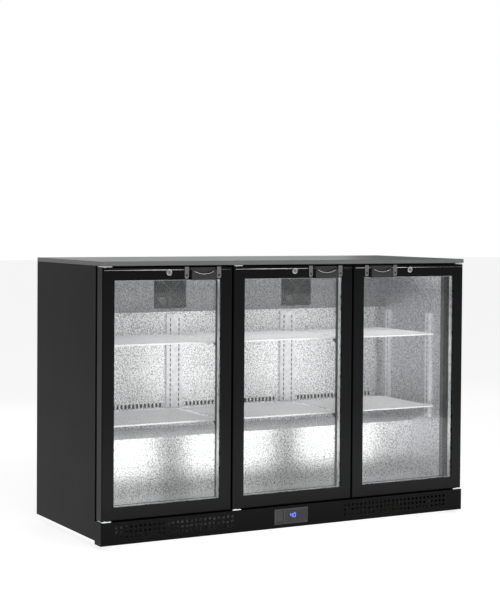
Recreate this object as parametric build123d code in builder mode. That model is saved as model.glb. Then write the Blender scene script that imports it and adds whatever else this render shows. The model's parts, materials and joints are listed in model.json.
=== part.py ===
from build123d import *

import os
from math import cos, radians, sin, sqrt

# Back bar bottle cooler for under a counter: three glass doors, steel case, fan cooled cabinet.
# Millimetres. +X right, +Y back, +Z up, origin on the floor under the middle of the bounding box.

# ---- driving dimensions -------------------------------------------------------------------
WIDTH = 1350.0
DEPTH = 530.0
HEIGHT = 875.0
FOOT_CLEARANCE = 12.0        # floor to the lowest sheet metal
HANDLE_PROUD = 12.0          # handle grips stand this far in front of the doors
DOOR_COUNT = 3
DOOR_GAP = 5.0
DOOR_THICKNESS = 38.0
GASKET_GAP = 8.0             # door back to cabinet front
DOOR_HEIGHT = 770.0
DOOR_FRAME_WIDTH = 40.0
DOOR_EDGE_RADIUS = 4.0
KICK_HEIGHT = 70.0
TOP_SKIRT = 13.0
WALL = 45.0                  # insulated wall, skin to liner
SHEET = 1.2                  # painted steel
LINER_SHEET = 1.0            # embossed aluminium
CLEAR = 0.3                  # gap between neighbouring pieces of one body

# ---- derived planes ------------------------------------------------------------------------
FRONT = -(DEPTH + HANDLE_PROUD) / 2 + HANDLE_PROUD     # front face of the doors
BACK = FRONT + DEPTH
SCREW_HEAD_HEIGHT = 2.0
BACK_FACE = BACK - SCREW_HEAD_HEIGHT - 0.2             # back skin, set in behind the side panels
LEFT = -WIDTH / 2
RIGHT = WIDTH / 2
BASE = FOOT_CLEARANCE
KICK_TOP = BASE + KICK_HEIGHT
TOP_UNDERSIDE = HEIGHT - TOP_SKIRT
DOOR_TOP = TOP_UNDERSIDE - DOOR_GAP
DOOR_BOTTOM = DOOR_TOP - DOOR_HEIGHT
DOOR_PITCH = WIDTH / DOOR_COUNT
DOOR_WIDTH = DOOR_PITCH - DOOR_GAP
DOOR_BACK = FRONT + DOOR_THICKNESS
CASE_FRONT = DOOR_BACK + GASKET_GAP

INNER_LEFT = LEFT + WALL
INNER_RIGHT = RIGHT - WALL
INNER_FLOOR = BASE + 93.0
CEILING = HEIGHT - 48.0
STEP_FRONT = FRONT + 233.0       # front face of the compressor step
STEP_TOP = BASE + 284.0
DUCT_FACE = FRONT + 427.0
COVER_FACE = FRONT + 404.0
COVER_BOTTOM = BASE + 680.0
OUTER_LEFT = LEFT + SHEET
OUTER_RIGHT = RIGHT - SHEET
BASE_PLATE = BASE + 10.5

MULLION_WIDTH = 40.0
MULLION_DEPTH = 32.0
BREAKER_DEPTH = 18.0

SHELF_LEVELS = {"lower": BASE + 352.0, "upper": BASE + 602.0}
SHELF_FRONT = FRONT + 88.0
SHELF_BACK = FRONT + 405.0
SHELF_ROD = 5.0
SHELF_WIRE = 3.0
SHELF_WIRE_PITCH = 11.0

FAN_SIZE = 119.0
FAN_DEPTH = 25.0
FAN_PROUD = 2.0              # fan frames stand in front of the evaporator cover
FAN_BORE = 112.0
FAN_HUB = 40.0
FAN_X = 247.5
FAN_Z = BASE + 751.0
AXLE_RADIUS = 2.5
AXLE_PLAY = 0.06

LOCK_RADIUS = 9.5
LOCK_Z = BASE + 829.0
PLUG_RADIUS = 6.0
TURN_PLAY = 0.06
CAM_REACH = 28.0
HINGE_INSET = 12.0           # hinge axis from the door's edge
HINGE_SETBACK = 6.0          # hinge axis behind the door's front face
HINGE_PIN = 4.0
HINGE_DEPTH = 12.0

PARTS = []


def block(x, y, z, mode=Mode.ADD):
    """Adds a box from (low, high) pairs to the part being built."""
    with Locations(((x[0] + x[1]) / 2, (y[0] + y[1]) / 2, (z[0] + z[1]) / 2)):
        Box(x[1] - x[0], y[1] - y[0], z[1] - z[0], mode=mode)


def rod(start, length, radius, axis="Y", mode=Mode.ADD):
    """Adds a cylinder that starts at a point and runs along a positive axis."""
    plane = {
        "X": Plane(start, x_dir=(0, 1, 0), z_dir=(1, 0, 0)),
        "Y": Plane(start, x_dir=(1, 0, 0), z_dir=(0, 1, 0)),
        "Z": Plane(start, x_dir=(1, 0, 0), z_dir=(0, 0, 1)),
    }[axis]
    with Locations(plane):
        Cylinder(radius, length, align=(Align.CENTER, Align.CENTER, Align.MIN), mode=mode)


def keep(part, name):
    """Labels a finished piece and writes it to its own file."""
    part.label = name
    export_step(part, f"parts/{name}.step")
    PARTS.append(name)


def door_left(index):
    """Left edge of a door, counted from zero at the left."""
    return LEFT + index * DOOR_PITCH + DOOR_GAP / 2


def hinge_on_left(index):
    """The last door is hinged on the right, the others on the left."""
    return index < DOOR_COUNT - 1


def hinge_x(index):
    if hinge_on_left(index):
        return door_left(index) + HINGE_INSET
    return door_left(index) + DOOR_WIDTH - HINGE_INSET


os.makedirs("parts", exist_ok=True)

# ---- case ----------------------------------------------------------------------------------

# Worktop: a folded steel tray that is open underneath, so the lock cams rise behind its skirt.
with BuildPart() as worktop:
    block((LEFT, RIGHT), (FRONT, BACK), (TOP_UNDERSIDE, HEIGHT))
    fillet(worktop.edges().group_by(Axis.Z)[-1], 1.2)
    block(
        (LEFT + SHEET, RIGHT - SHEET),
        (FRONT + SHEET, BACK - SHEET),
        (TOP_UNDERSIDE - 1, HEIGHT - SHEET),
        mode=Mode.SUBTRACT,
    )
keep(worktop.part, "worktop")

# Side panels: sheet with a flange turned in along the front edge and another along the bottom.
SIDE_FLANGE = 30.0
SIDE_TOP = TOP_UNDERSIDE - CLEAR
for name, outer, inward in (("side_panel_left", LEFT, 1), ("side_panel_right", RIGHT, -1)):
    inner = outer + inward * SHEET
    flange = outer + inward * SIDE_FLANGE
    with BuildPart() as side_panel:
        block(sorted((outer, inner)), (CASE_FRONT, BACK), (BASE_PLATE, SIDE_TOP))
        block(sorted((outer, flange)), (CASE_FRONT, CASE_FRONT + SHEET), (KICK_TOP, SIDE_TOP))
        block(sorted((outer, flange)), (CASE_FRONT, BACK), (BASE_PLATE, BASE_PLATE + SHEET))
    keep(side_panel.part, name)

# Base pan: closes the bottom between the side flanges and runs forward under the kickplate's
# air holes, with its edges turned up. A nut for each foot sits on it.
PAN_SIDE = SIDE_FLANGE + CLEAR
PAN_FRONT = FRONT + SHEET + 2.0
PAN_BACK = BACK - 12.0
PAN_RIM = 3.5
NUT_RADIUS = 9.0
FOOT_PIN = 5.0
FOOT_INSET = 75.0
FOOT_PLACES = {
    "foot_front_left": (LEFT + FOOT_INSET, FRONT + 85.0),
    "foot_front_right": (RIGHT - FOOT_INSET, FRONT + 85.0),
    "foot_back_left": (LEFT + FOOT_INSET, BACK - FOOT_INSET),
    "foot_back_right": (RIGHT - FOOT_INSET, BACK - FOOT_INSET),
}
NUT_HEIGHT = 14.0
FOOT_TRAVEL = 15.0
pan_x = (LEFT + PAN_SIDE, RIGHT - PAN_SIDE)
with BuildPart() as base_pan:
    block(pan_x, (PAN_FRONT, PAN_BACK), (BASE_PLATE, BASE_PLATE + SHEET))
    for y in (PAN_FRONT, PAN_BACK - SHEET):
        block(pan_x, (y, y + SHEET), (BASE_PLATE, BASE_PLATE + PAN_RIM))
    for x, y in FOOT_PLACES.values():
        rod((x, y, BASE_PLATE + SHEET + 0.05), NUT_HEIGHT - SHEET - 0.05, NUT_RADIUS, "Z")
        rod((x, y, BASE_PLATE - 1), NUT_HEIGHT + 2, FOOT_PIN + TURN_PLAY, "Z", Mode.SUBTRACT)
keep(base_pan.part, "base_pan")

# Levelling feet: a stud that screws up into the base pan, and a round rubber-faced pad.
PAD_RADIUS = 19.0
PAD_HEIGHT = 8.0
for name, (x, y) in FOOT_PLACES.items():
    with BuildPart() as foot:
        rod((x, y, 0), PAD_HEIGHT, PAD_RADIUS, "Z")
        fillet(foot.edges().filter_by(GeomType.CIRCLE), 1.5)
        rod((x, y, PAD_HEIGHT - 1), BASE_PLATE + NUT_HEIGHT + FOOT_TRAVEL - PAD_HEIGHT, FOOT_PIN, "Z")
    keep(foot.part, name)

# Back panel: flat steel sheet above the service opening.
GRILLE_TOP = BASE + 262.0
BACK_SIDE = SHEET + CLEAR
with BuildPart() as back_panel:
    block((LEFT + BACK_SIDE, RIGHT - BACK_SIDE), (BACK_FACE - SHEET, BACK_FACE), (GRILLE_TOP, SIDE_TOP))
keep(back_panel.part, "back_panel")

# Service grille: a screwed plate with rows of air slots over the compressor space.
GRILLE_SLOT = (60.0, 5.0)
GRILLE_BANKS = 13
GRILLE_ROWS = 12
ENTRY_WIDTH = 70.0
grille_x = (LEFT + BACK_SIDE, RIGHT - BACK_SIDE - ENTRY_WIDTH - CLEAR)
grille_z = (BASE_PLATE + SHEET + CLEAR, GRILLE_TOP - CLEAR)
with BuildPart() as service_grille:
    with BuildSketch(Plane.XZ.offset(-BACK_FACE)):
        with Locations((sum(grille_x) / 2, sum(grille_z) / 2)):
            Rectangle(grille_x[1] - grille_x[0], grille_z[1] - grille_z[0])
            with GridLocations(84.0, 16.0, GRILLE_BANKS, GRILLE_ROWS):
                SlotOverall(*GRILLE_SLOT, mode=Mode.SUBTRACT)
    extrude(amount=SHEET)
keep(service_grille.part, "service_grille")

# Cable entry: a moulded plate beside the grille, with a bush for the mains lead.
ENTRY_X = RIGHT - BACK_SIDE - ENTRY_WIDTH / 2
ENTRY_Z = BASE + 60.0
BUSH_RADIUS = 9.0
BUSH_BORE = 4.0
BUSH_DEPTH = 12.0
with BuildPart() as cable_entry:
    block((ENTRY_X - ENTRY_WIDTH / 2, ENTRY_X + ENTRY_WIDTH / 2), (BACK_FACE - SHEET, BACK_FACE), grille_z)
    rod((ENTRY_X, BACK_FACE - BUSH_DEPTH, ENTRY_Z), BUSH_DEPTH + SCREW_HEAD_HEIGHT, BUSH_RADIUS)
    rod((ENTRY_X, BACK_FACE - 2 * BUSH_DEPTH, ENTRY_Z), 4 * BUSH_DEPTH, BUSH_BORE, mode=Mode.SUBTRACT)
keep(cable_entry.part, "cable_entry")

# Kickplate: perforated front with a turned-out bottom lip and returns along both sides.
HOLE_RADIUS = 4.5
HOLE_PITCH = 16.0
HOLE_ROWS = (BASE + 23.0, BASE + 38.0, BASE + 53.0)
HOLE_COLUMNS = 26
HOLE_BANKS = (LEFT + 253.0, LEFT + 1075.0)
PANEL_X = (LEFT + 606.0, LEFT + 731.0)
PANEL_Z = (BASE + 11.5, BASE + 62.0)
with BuildPart() as kickplate:
    with BuildSketch(Plane.XZ.offset(-FRONT)):
        with Locations((0, (BASE + KICK_TOP) / 2)):
            Rectangle(WIDTH, KICK_HEIGHT)
        for bank in HOLE_BANKS:
            with Locations((bank, HOLE_ROWS[1])):
                with GridLocations(HOLE_PITCH, HOLE_ROWS[1] - HOLE_ROWS[0], HOLE_COLUMNS, 3):
                    Circle(HOLE_RADIUS, mode=Mode.SUBTRACT)
        with Locations((sum(PANEL_X) / 2, sum(PANEL_Z) / 2)):
            Rectangle(PANEL_X[1] - PANEL_X[0] - 6, PANEL_Z[1] - PANEL_Z[0] - 6, mode=Mode.SUBTRACT)
    extrude(amount=-SHEET)
    for x in (LEFT, RIGHT - SHEET):
        block((x, x + SHEET), (FRONT, CASE_FRONT - CLEAR), (BASE, KICK_TOP))
    block((LEFT, RIGHT), (FRONT, CASE_FRONT - 12), (KICK_TOP - SHEET, KICK_TOP))
    block((LEFT, RIGHT), (FRONT, FRONT + 16), (BASE, BASE + SHEET))
keep(kickplate.part, "kickplate")

# ---- insulated cabinet ---------------------------------------------------------------------

# Liner: embossed aluminium sheets, each wall its own plate, with the compressor step behind.
wall_z = (INNER_FLOOR, CEILING)
liner_front = CASE_FRONT + BREAKER_DEPTH
with BuildPart() as inner_liner:
    block((INNER_LEFT - LINER_SHEET, INNER_LEFT), (liner_front, DUCT_FACE + 40), wall_z)
    block((INNER_RIGHT, INNER_RIGHT + LINER_SHEET), (liner_front, DUCT_FACE + 40), wall_z)
    block(
        (INNER_LEFT, INNER_RIGHT),
        (liner_front, STEP_FRONT),
        (INNER_FLOOR - LINER_SHEET, INNER_FLOOR - 0.01),
    )
    block(
        (INNER_LEFT, INNER_RIGHT),
        (liner_front, DUCT_FACE + 40),
        (CEILING + 0.01, CEILING + LINER_SHEET),
    )
    block(
        (INNER_LEFT + 0.01, INNER_RIGHT - 0.01),
        (STEP_FRONT + 0.01, STEP_FRONT + LINER_SHEET),
        (INNER_FLOOR, STEP_TOP - LINER_SHEET - 0.01),
    )
    block(
        (INNER_LEFT + 0.01, INNER_RIGHT - 0.01),
        (STEP_FRONT + 0.01, DUCT_FACE + 40),
        (STEP_TOP - LINER_SHEET, STEP_TOP),
    )
    block(
        (INNER_LEFT + 0.01, INNER_RIGHT - 0.01),
        (DUCT_FACE + 40 - LINER_SHEET, DUCT_FACE + 40),
        (STEP_TOP + 0.01, CEILING - 0.01),
    )
keep(inner_liner.part, "inner_liner")

# Foam: one block for each wall, between the skins and the liner.
foam_gap = LINER_SHEET + CLEAR
skin_gap = SHEET + CLEAR
foam_back = BACK_FACE - skin_gap
foam_low = KICK_TOP + CLEAR
with BuildPart() as foam_insulation:
    for side in (-1, 1):
        inner = side * (WIDTH / 2 - WALL + foam_gap)
        outer = side * (WIDTH / 2 - skin_gap)
        block(sorted((inner, outer)), (liner_front, foam_back), (foam_low, SIDE_TOP))
    block(
        (INNER_LEFT - foam_gap + CLEAR, INNER_RIGHT + foam_gap - CLEAR),
        (liner_front, foam_back),
        (CEILING + foam_gap, SIDE_TOP),
    )
    block(
        (INNER_LEFT, INNER_RIGHT),
        (liner_front, STEP_FRONT + 20),
        (foam_low, INNER_FLOOR - foam_gap),
    )
    block(
        (INNER_LEFT, INNER_RIGHT),
        (STEP_FRONT + foam_gap, STEP_FRONT + 30),
        (INNER_FLOOR, STEP_TOP - foam_gap - 30),
    )
    block(
        (INNER_LEFT, INNER_RIGHT),
        (STEP_FRONT + foam_gap, foam_back),
        (STEP_TOP - foam_gap - 28, STEP_TOP - foam_gap),
    )
    block(
        (INNER_LEFT, INNER_RIGHT),
        (DUCT_FACE + 40 + CLEAR, foam_back),
        (STEP_TOP + CLEAR, CEILING),
    )
keep(foam_insulation.part, "foam_insulation")

# Duct panel: rear face of the storage space, with a row of air slots above the lower shelf.
RAIL_WIDTH = 60.0
RAIL_X = (LEFT + DOOR_PITCH + 3.0, RIGHT - DOOR_PITCH - 1.5)
SLOT_SIZE = (8.0, 14.0)
SLOT_PITCH = 14.3
SLOT_Z = BASE + 363.0
SLOT_COUNT = 81
duct_z = (STEP_TOP + CLEAR, COVER_BOTTOM + 8)
with BuildPart() as duct_panel:
    with BuildSketch(Plane.XZ.offset(-DUCT_FACE)):
        with Locations((0, sum(duct_z) / 2)):
            Rectangle(INNER_RIGHT - INNER_LEFT - 1, duct_z[1] - duct_z[0])
        for index in range(SLOT_COUNT):
            slot_x = (index - (SLOT_COUNT - 1) / 2) * SLOT_PITCH
            if all(abs(slot_x - rail) > RAIL_WIDTH / 2 + SLOT_SIZE[0] for rail in RAIL_X):
                with Locations((slot_x, SLOT_Z)):
                    Rectangle(*SLOT_SIZE, mode=Mode.SUBTRACT)
    extrude(amount=-LINER_SHEET)
keep(duct_panel.part, "duct_panel")

# Evaporator cover: upright sheet with two square fan openings and its bottom edge turned back.
with BuildPart() as evaporator_cover:
    with BuildSketch(Plane.XZ.offset(-COVER_FACE)):
        with Locations((0, (COVER_BOTTOM + CEILING - CLEAR) / 2)):
            Rectangle(INNER_RIGHT - INNER_LEFT - 1, CEILING - CLEAR - COVER_BOTTOM)
        with Locations((-FAN_X, FAN_Z), (FAN_X, FAN_Z)):
            Rectangle(FAN_SIZE + 1, FAN_SIZE + 1, mode=Mode.SUBTRACT)
    extrude(amount=-LINER_SHEET)
    block(
        (INNER_LEFT + 0.5, INNER_RIGHT - 0.5),
        (COVER_FACE, DUCT_FACE - CLEAR),
        (COVER_BOTTOM, COVER_BOTTOM + LINER_SHEET),
    )
keep(evaporator_cover.part, "evaporator_cover")

# Evaporator: thin fins on copper tubes between two end plates, behind the fans.
COIL_X = 330.0
COIL_Y = (COVER_FACE + 34.0, DUCT_FACE + 36.0)
COIL_Z = (BASE + 725.0, CEILING - 8.0)
COIL_TUBE = 5.0
FIN_PITCH = 12.0
with BuildPart() as evaporator_coil:
    fin_count = int(2 * COIL_X / FIN_PITCH) + 1
    with GridLocations(FIN_PITCH, 1, fin_count, 1):
        with Locations((0, sum(COIL_Y) / 2, sum(COIL_Z) / 2)):
            Box(1.0, COIL_Y[1] - COIL_Y[0] - 4, COIL_Z[1] - COIL_Z[0] - 4)
    for z in (COIL_Z[0] + 14, COIL_Z[0] + 40, COIL_Z[0] + 66):
        rod((-COIL_X - 18, sum(COIL_Y) / 2, z), 2 * COIL_X + 36, COIL_TUBE, "X")
    for x in (-COIL_X - 8, COIL_X + 6):
        block((x, x + 2), COIL_Y, COIL_Z)
keep(evaporator_coil.part, "evaporator_coil")

# Front trims: a black plastic breaker frame round the opening and two mullions between the doors.
breaker_z = (KICK_TOP + CLEAR, SIDE_TOP - CLEAR)
side_cover = SIDE_FLANGE + CLEAR
with BuildPart() as breaker_frame:
    for x in ((LEFT + side_cover, INNER_LEFT + 4), (INNER_RIGHT - 4, RIGHT - side_cover)):
        block(x, (CASE_FRONT, CASE_FRONT + BREAKER_DEPTH - CLEAR), breaker_z)
    for z in ((breaker_z[0], INNER_FLOOR), (CEILING, breaker_z[1])):
        block(
            (INNER_LEFT + 4.01, INNER_RIGHT - 4.01),
            (CASE_FRONT, CASE_FRONT + BREAKER_DEPTH - CLEAR),
            z,
        )
keep(breaker_frame.part, "breaker_frame")

with BuildPart() as mullions:
    for index in range(1, DOOR_COUNT):
        with BuildSketch(Plane.XY.offset(INNER_FLOOR + CLEAR)) as mullion_section:
            with Locations((LEFT + index * DOOR_PITCH, CASE_FRONT + MULLION_DEPTH / 2)):
                Rectangle(MULLION_WIDTH, MULLION_DEPTH)
            chamfer(mullion_section.vertices().group_by(Axis.Y)[-1], 3.0)
        extrude(amount=CEILING - INNER_FLOOR - 2 * CLEAR)
keep(mullions.part, "mullions")

# ---- shelving ------------------------------------------------------------------------------

# Rails: slotted hat channels, two on the duct panel and two on each side wall.
RAIL_DEPTH = 8.0
RAIL_SHEET = 1.2
SIDE_RAIL_WIDTH = 26.0
SIDE_RAIL_Y = (FRONT + 137.0, FRONT + 382.0)
RAIL_Z = (BASE + 309.0, BASE + 671.0)
RAIL_SLOT = (4.0, 11.0)
RAIL_SLOT_PITCH = 17.0
RAIL_SLOTS = 20
SLOT_COLUMN = 16.0
with BuildPart() as shelf_rails:
    for rail in RAIL_X:
        block((rail - 30, rail + 30), (DUCT_FACE - RAIL_DEPTH, DUCT_FACE - CLEAR), RAIL_Z)
        block(
            (rail - 30 + RAIL_SHEET, rail + 30 - RAIL_SHEET),
            (DUCT_FACE - RAIL_DEPTH + RAIL_SHEET, DUCT_FACE),
            (RAIL_Z[0] - 1, RAIL_Z[1] + 1),
            mode=Mode.SUBTRACT,
        )
        with BuildSketch(Plane.XZ.offset(-(DUCT_FACE - RAIL_DEPTH))):
            with Locations((rail, sum(RAIL_Z) / 2)):
                with GridLocations(2 * SLOT_COLUMN, RAIL_SLOT_PITCH, 2, RAIL_SLOTS):
                    Rectangle(*RAIL_SLOT)
        extrude(amount=-RAIL_SHEET, mode=Mode.SUBTRACT)
    for wall, inward in ((INNER_LEFT, 1), (INNER_RIGHT, -1)):
        face = wall + inward * RAIL_DEPTH
        for rail in SIDE_RAIL_Y:
            half = SIDE_RAIL_WIDTH / 2
            block(sorted((wall + inward * CLEAR, face)), (rail - half, rail + half), RAIL_Z)
            block(
                sorted((wall, face - inward * RAIL_SHEET)),
                (rail - half + RAIL_SHEET, rail + half - RAIL_SHEET),
                (RAIL_Z[0] - 1, RAIL_Z[1] + 1),
                mode=Mode.SUBTRACT,
            )
        with BuildSketch(Plane.YZ.offset(face + inward)):
            for rail in SIDE_RAIL_Y:
                with Locations((rail, sum(RAIL_Z) / 2)):
                    with GridLocations(1, RAIL_SLOT_PITCH, 1, RAIL_SLOTS):
                        Rectangle(*RAIL_SLOT)
        extrude(amount=-inward * 3 * RAIL_SHEET, mode=Mode.SUBTRACT)
keep(shelf_rails.part, "shelf_rails")

# Shelves: coated wire grids, three side by side on each level.
shelf_joints = (INNER_LEFT + RAIL_DEPTH, LEFT + DOOR_PITCH, RIGHT - DOOR_PITCH, INNER_RIGHT - RAIL_DEPTH)
SHELF_GAP = 1.5
for level, shelf_z in SHELF_LEVELS.items():
    with BuildPart() as shelves:
        with BuildSketch(Plane.XY.offset(shelf_z - SHELF_ROD)):
            for x0, x1 in zip(shelf_joints, shelf_joints[1:]):
                width = x1 - x0 - 2 * SHELF_GAP
                middle = ((x0 + x1) / 2, (SHELF_FRONT + SHELF_BACK) / 2)
                with Locations(middle):
                    Rectangle(width, SHELF_BACK - SHELF_FRONT)
                    Rectangle(
                        width - 2 * SHELF_ROD,
                        SHELF_BACK - SHELF_FRONT - 2 * SHELF_ROD,
                        mode=Mode.SUBTRACT,
                    )
                    Rectangle(width, SHELF_ROD)
        extrude(amount=SHELF_ROD)
        with BuildSketch(Plane.XY.offset(shelf_z - SHELF_WIRE / 2)):
            for x0, x1 in zip(shelf_joints, shelf_joints[1:]):
                width = x1 - x0 - 2 * SHELF_GAP
                wire_count = int((width - 2 * SHELF_ROD) / SHELF_WIRE_PITCH)
                with Locations(((x0 + x1) / 2, (SHELF_FRONT + SHELF_BACK) / 2)):
                    with GridLocations(SHELF_WIRE_PITCH, 1, wire_count, 1):
                        Rectangle(SHELF_WIRE, SHELF_BACK - SHELF_FRONT)
        extrude(amount=SHELF_WIRE)
    keep(shelves.part, f"shelves_{level}")

# Clips: plastic wedges that hook in the rails and on the mullions and carry the shelves.
CLIP_DEPTH = 22.0
CLIP_HEIGHT = 16.0
CLIP_WIDTH = 8.0
with BuildPart() as shelf_clips:
    for shelf_z in SHELF_LEVELS.values():
        clip_top = shelf_z - SHELF_ROD - 0.05
        for index in range(1, DOOR_COUNT):
            joint_x = LEFT + index * DOOR_PITCH
            for x in (joint_x - 12, joint_x + 12):
                start = CASE_FRONT + MULLION_DEPTH + 0.05
                with BuildSketch(Plane.YZ.offset(x - CLIP_WIDTH / 2)):
                    Polygon(
                        (start, clip_top), (start + CLIP_DEPTH, clip_top),
                        (start + CLIP_DEPTH, clip_top - 3), (start, clip_top - CLIP_HEIGHT),
                        align=None,
                    )
                extrude(amount=CLIP_WIDTH)
                start = DUCT_FACE - RAIL_DEPTH - 0.05
                with BuildSketch(Plane.YZ.offset(x - CLIP_WIDTH / 2)):
                    Polygon(
                        (start, clip_top), (start - CLIP_DEPTH - 4, clip_top),
                        (start - CLIP_DEPTH - 4, clip_top - 3), (start, clip_top - CLIP_HEIGHT),
                        align=None,
                    )
                extrude(amount=CLIP_WIDTH)
        for wall, inward in ((INNER_LEFT, 1), (INNER_RIGHT, -1)):
            start = wall + inward * (RAIL_DEPTH + 0.05)
            end = start + inward * 14.0
            for rail in SIDE_RAIL_Y:
                block(sorted((start, end)), (rail - 4, rail + 4), (clip_top - 5, clip_top))
keep(shelf_clips.part, "shelf_clips")

# ---- cooling and light ---------------------------------------------------------------------

# Fan frames: square moulded ducts with a motor hub on three spokes; two cool, one rejects heat.
CONDENSER_FAN_Y = BACK - 95.0
CONDENSER_FAN = (RIGHT - 300.0, CONDENSER_FAN_Y, BASE + 112.0)
fan_y = COVER_FACE - FAN_PROUD
FANS = {
    "evaporator_rotor_left": (-FAN_X, fan_y, FAN_Z),
    "evaporator_rotor_right": (FAN_X, fan_y, FAN_Z),
    "condenser_rotor": CONDENSER_FAN,
}
MOTOR_DEPTH = 7.0
SPOKES = 3
FAN_HOLE = 52.0
with BuildPart() as fan_frames:
    for x, y, z in FANS.values():
        fan_plane = Plane((x, y, z), x_dir=(1, 0, 0), z_dir=(0, 1, 0))
        with BuildSketch(fan_plane):
            RectangleRounded(FAN_SIZE, FAN_SIZE, 6.0)
            Circle(FAN_BORE / 2, mode=Mode.SUBTRACT)
            with GridLocations(2 * FAN_HOLE, 2 * FAN_HOLE, 2, 2):
                Circle(2.2, mode=Mode.SUBTRACT)
        extrude(amount=FAN_DEPTH)
        with BuildSketch(fan_plane.offset(FAN_DEPTH - 4)):
            with PolarLocations(FAN_BORE / 4 + 5, SPOKES, start_angle=90):
                Rectangle(FAN_BORE / 2, 6.0)
            Circle(FAN_HUB / 2)
        extrude(amount=4)
        rod((x, y + FAN_DEPTH - MOTOR_DEPTH, z), MOTOR_DEPTH, FAN_HUB / 2)
        rod((x, y, z), FAN_DEPTH + 1, AXLE_RADIUS + AXLE_PLAY, mode=Mode.SUBTRACT)
keep(fan_frames.part, "fan_frames")

# Rotors: a hub cup with pitched blades and the axle that runs in the motor hub.
BLADES = 7
BLADE_PITCH = 38.0
for name, (x, y, z) in FANS.items():
    with BuildPart() as rotor:
        rod((x, y + 3, z), 13.0, FAN_HUB / 2 - 0.5)
        fillet(rotor.edges().filter_by(GeomType.CIRCLE).group_by(Axis.Y)[0], 2.0)
        rod((x, y + 15, z), FAN_DEPTH - 17, AXLE_RADIUS)
        reach = FAN_BORE / 2 - 2.0
        for index in range(BLADES):
            turn = radians(360.0 / BLADES * index)
            out = Vector(cos(turn), 0, sin(turn))
            root = Vector(x, y + 9.5, z) + out * (FAN_HUB / 2 - 3)
            across = out.cross(Vector(0, 1, 0)) * sin(radians(BLADE_PITCH))
            chord = Vector(0, 1, 0) * cos(radians(BLADE_PITCH)) + across
            span = Plane(root, x_dir=chord, z_dir=out)
            with BuildSketch(span):
                Ellipse(8.5, 1.2)
            with BuildSketch(span.offset(reach - FAN_HUB / 2 + 3)):
                Ellipse(8.5, 0.9)
            loft()
    keep(rotor.part, name)

# Guards: wire rings on radial arms, screwed over the evaporator fans.
GUARD_WIRE = 1.8
GUARD_RINGS = 7
with BuildPart() as fan_guards:
    for name, (x, y, z) in FANS.items():
        if name == "condenser_rotor":
            continue
        front = Plane((x, y - 0.05, z), x_dir=(1, 0, 0), z_dir=(0, -1, 0))
        with BuildSketch(front):
            for ring in range(1, GUARD_RINGS + 1):
                radius = 57.0 * ring / GUARD_RINGS
                Circle(radius)
                Circle(radius - GUARD_WIRE, mode=Mode.SUBTRACT)
                if ring == 1:
                    Circle(radius)
            Rectangle(114.0, GUARD_WIRE)
            Rectangle(GUARD_WIRE, 114.0)
            with GridLocations(2 * FAN_HOLE, 2 * FAN_HOLE, 2, 2):
                Circle(5.5)
            with Locations((0, 0)):
                Rectangle(FAN_HOLE * 2 * sqrt(2), 3.0, rotation=45)
                Rectangle(FAN_HOLE * 2 * sqrt(2), 3.0, rotation=-45)
        extrude(amount=GUARD_WIRE * 1.5)
keep(fan_guards.part, "fan_guards")

# Lamp: a sealed strip along the ceiling, just behind the front trim.
with BuildPart() as lamp:
    block(
        (INNER_LEFT + 150, INNER_RIGHT - 150),
        (CASE_FRONT + BREAKER_DEPTH + 22, CASE_FRONT + BREAKER_DEPTH + 40),
        (CEILING - 11, CEILING - CLEAR),
    )
    fillet(lamp.edges().filter_by(Axis.X).group_by(Axis.Z)[0], 4.0)
keep(lamp.part, "lamp")

# Compressor: a welded pot with a bulged lid, standing on a foot plate.
COMPRESSOR = (LEFT + 320.0, BACK - 150.0)
PLATE_Z = BASE_PLATE + SHEET + 14.0
POT_RADIUS = 72.0
POT_TOP = BASE + 178.0
with BuildPart() as compressor:
    with BuildSketch(Plane.XY.offset(PLATE_Z)):
        with Locations(COMPRESSOR):
            RectangleRounded(190, 130, 12)
    extrude(amount=3.0)
    with BuildSketch(Plane.XY.offset(PLATE_Z + 3)):
        with Locations(COMPRESSOR):
            Circle(POT_RADIUS)
    extrude(amount=POT_TOP - PLATE_Z - 3)
    fillet(compressor.edges().filter_by(GeomType.CIRCLE).group_by(Axis.Z)[-1], 30.0)
    block(
        (COMPRESSOR[0] + POT_RADIUS - 12, COMPRESSOR[0] + POT_RADIUS + 26),
        (COMPRESSOR[1] - 22, COMPRESSOR[1] + 22),
        (PLATE_Z + 50, PLATE_Z + 108),
    )
keep(compressor.part, "compressor")

with BuildPart() as compressor_grommets:
    for dx in (-80, 80):
        for dy in (-50, 50):
            rod((COMPRESSOR[0] + dx, COMPRESSOR[1] + dy, BASE_PLATE + SHEET), 14.0, 11.0, "Z")
keep(compressor_grommets.part, "compressor_grommets")

# Condenser: finned block with end plates that its fan is screwed to.
CONDENSER_Y = (CONDENSER_FAN_Y - 63, CONDENSER_FAN_Y - 0.1)
CONDENSER_X = (CONDENSER_FAN[0] - 115, CONDENSER_FAN[0] + 115)
CONDENSER_Z = (BASE_PLATE + SHEET, BASE_PLATE + SHEET + 190)
CONDENSER_TUBE = 4.8
with BuildPart() as condenser_coil:
    middle = tuple(sum(pair) / 2 for pair in (CONDENSER_X, CONDENSER_Y, CONDENSER_Z))
    with Locations(middle):
        with GridLocations(8.0, 1, 27, 1):
            Box(1.0, CONDENSER_Y[1] - CONDENSER_Y[0] - 4, CONDENSER_Z[1] - CONDENSER_Z[0] - 6)
    for row in range(7):
        rod(
            (CONDENSER_X[0] - 10, middle[1], CONDENSER_Z[0] + 20 + row * 25),
            CONDENSER_X[1] - CONDENSER_X[0] + 20,
            CONDENSER_TUBE,
            "X",
        )
    for x in (CONDENSER_X[0], CONDENSER_X[1] - 1.5):
        block((x, x + 1.5), CONDENSER_Y, CONDENSER_Z)
keep(condenser_coil.part, "condenser_coil")

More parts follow.
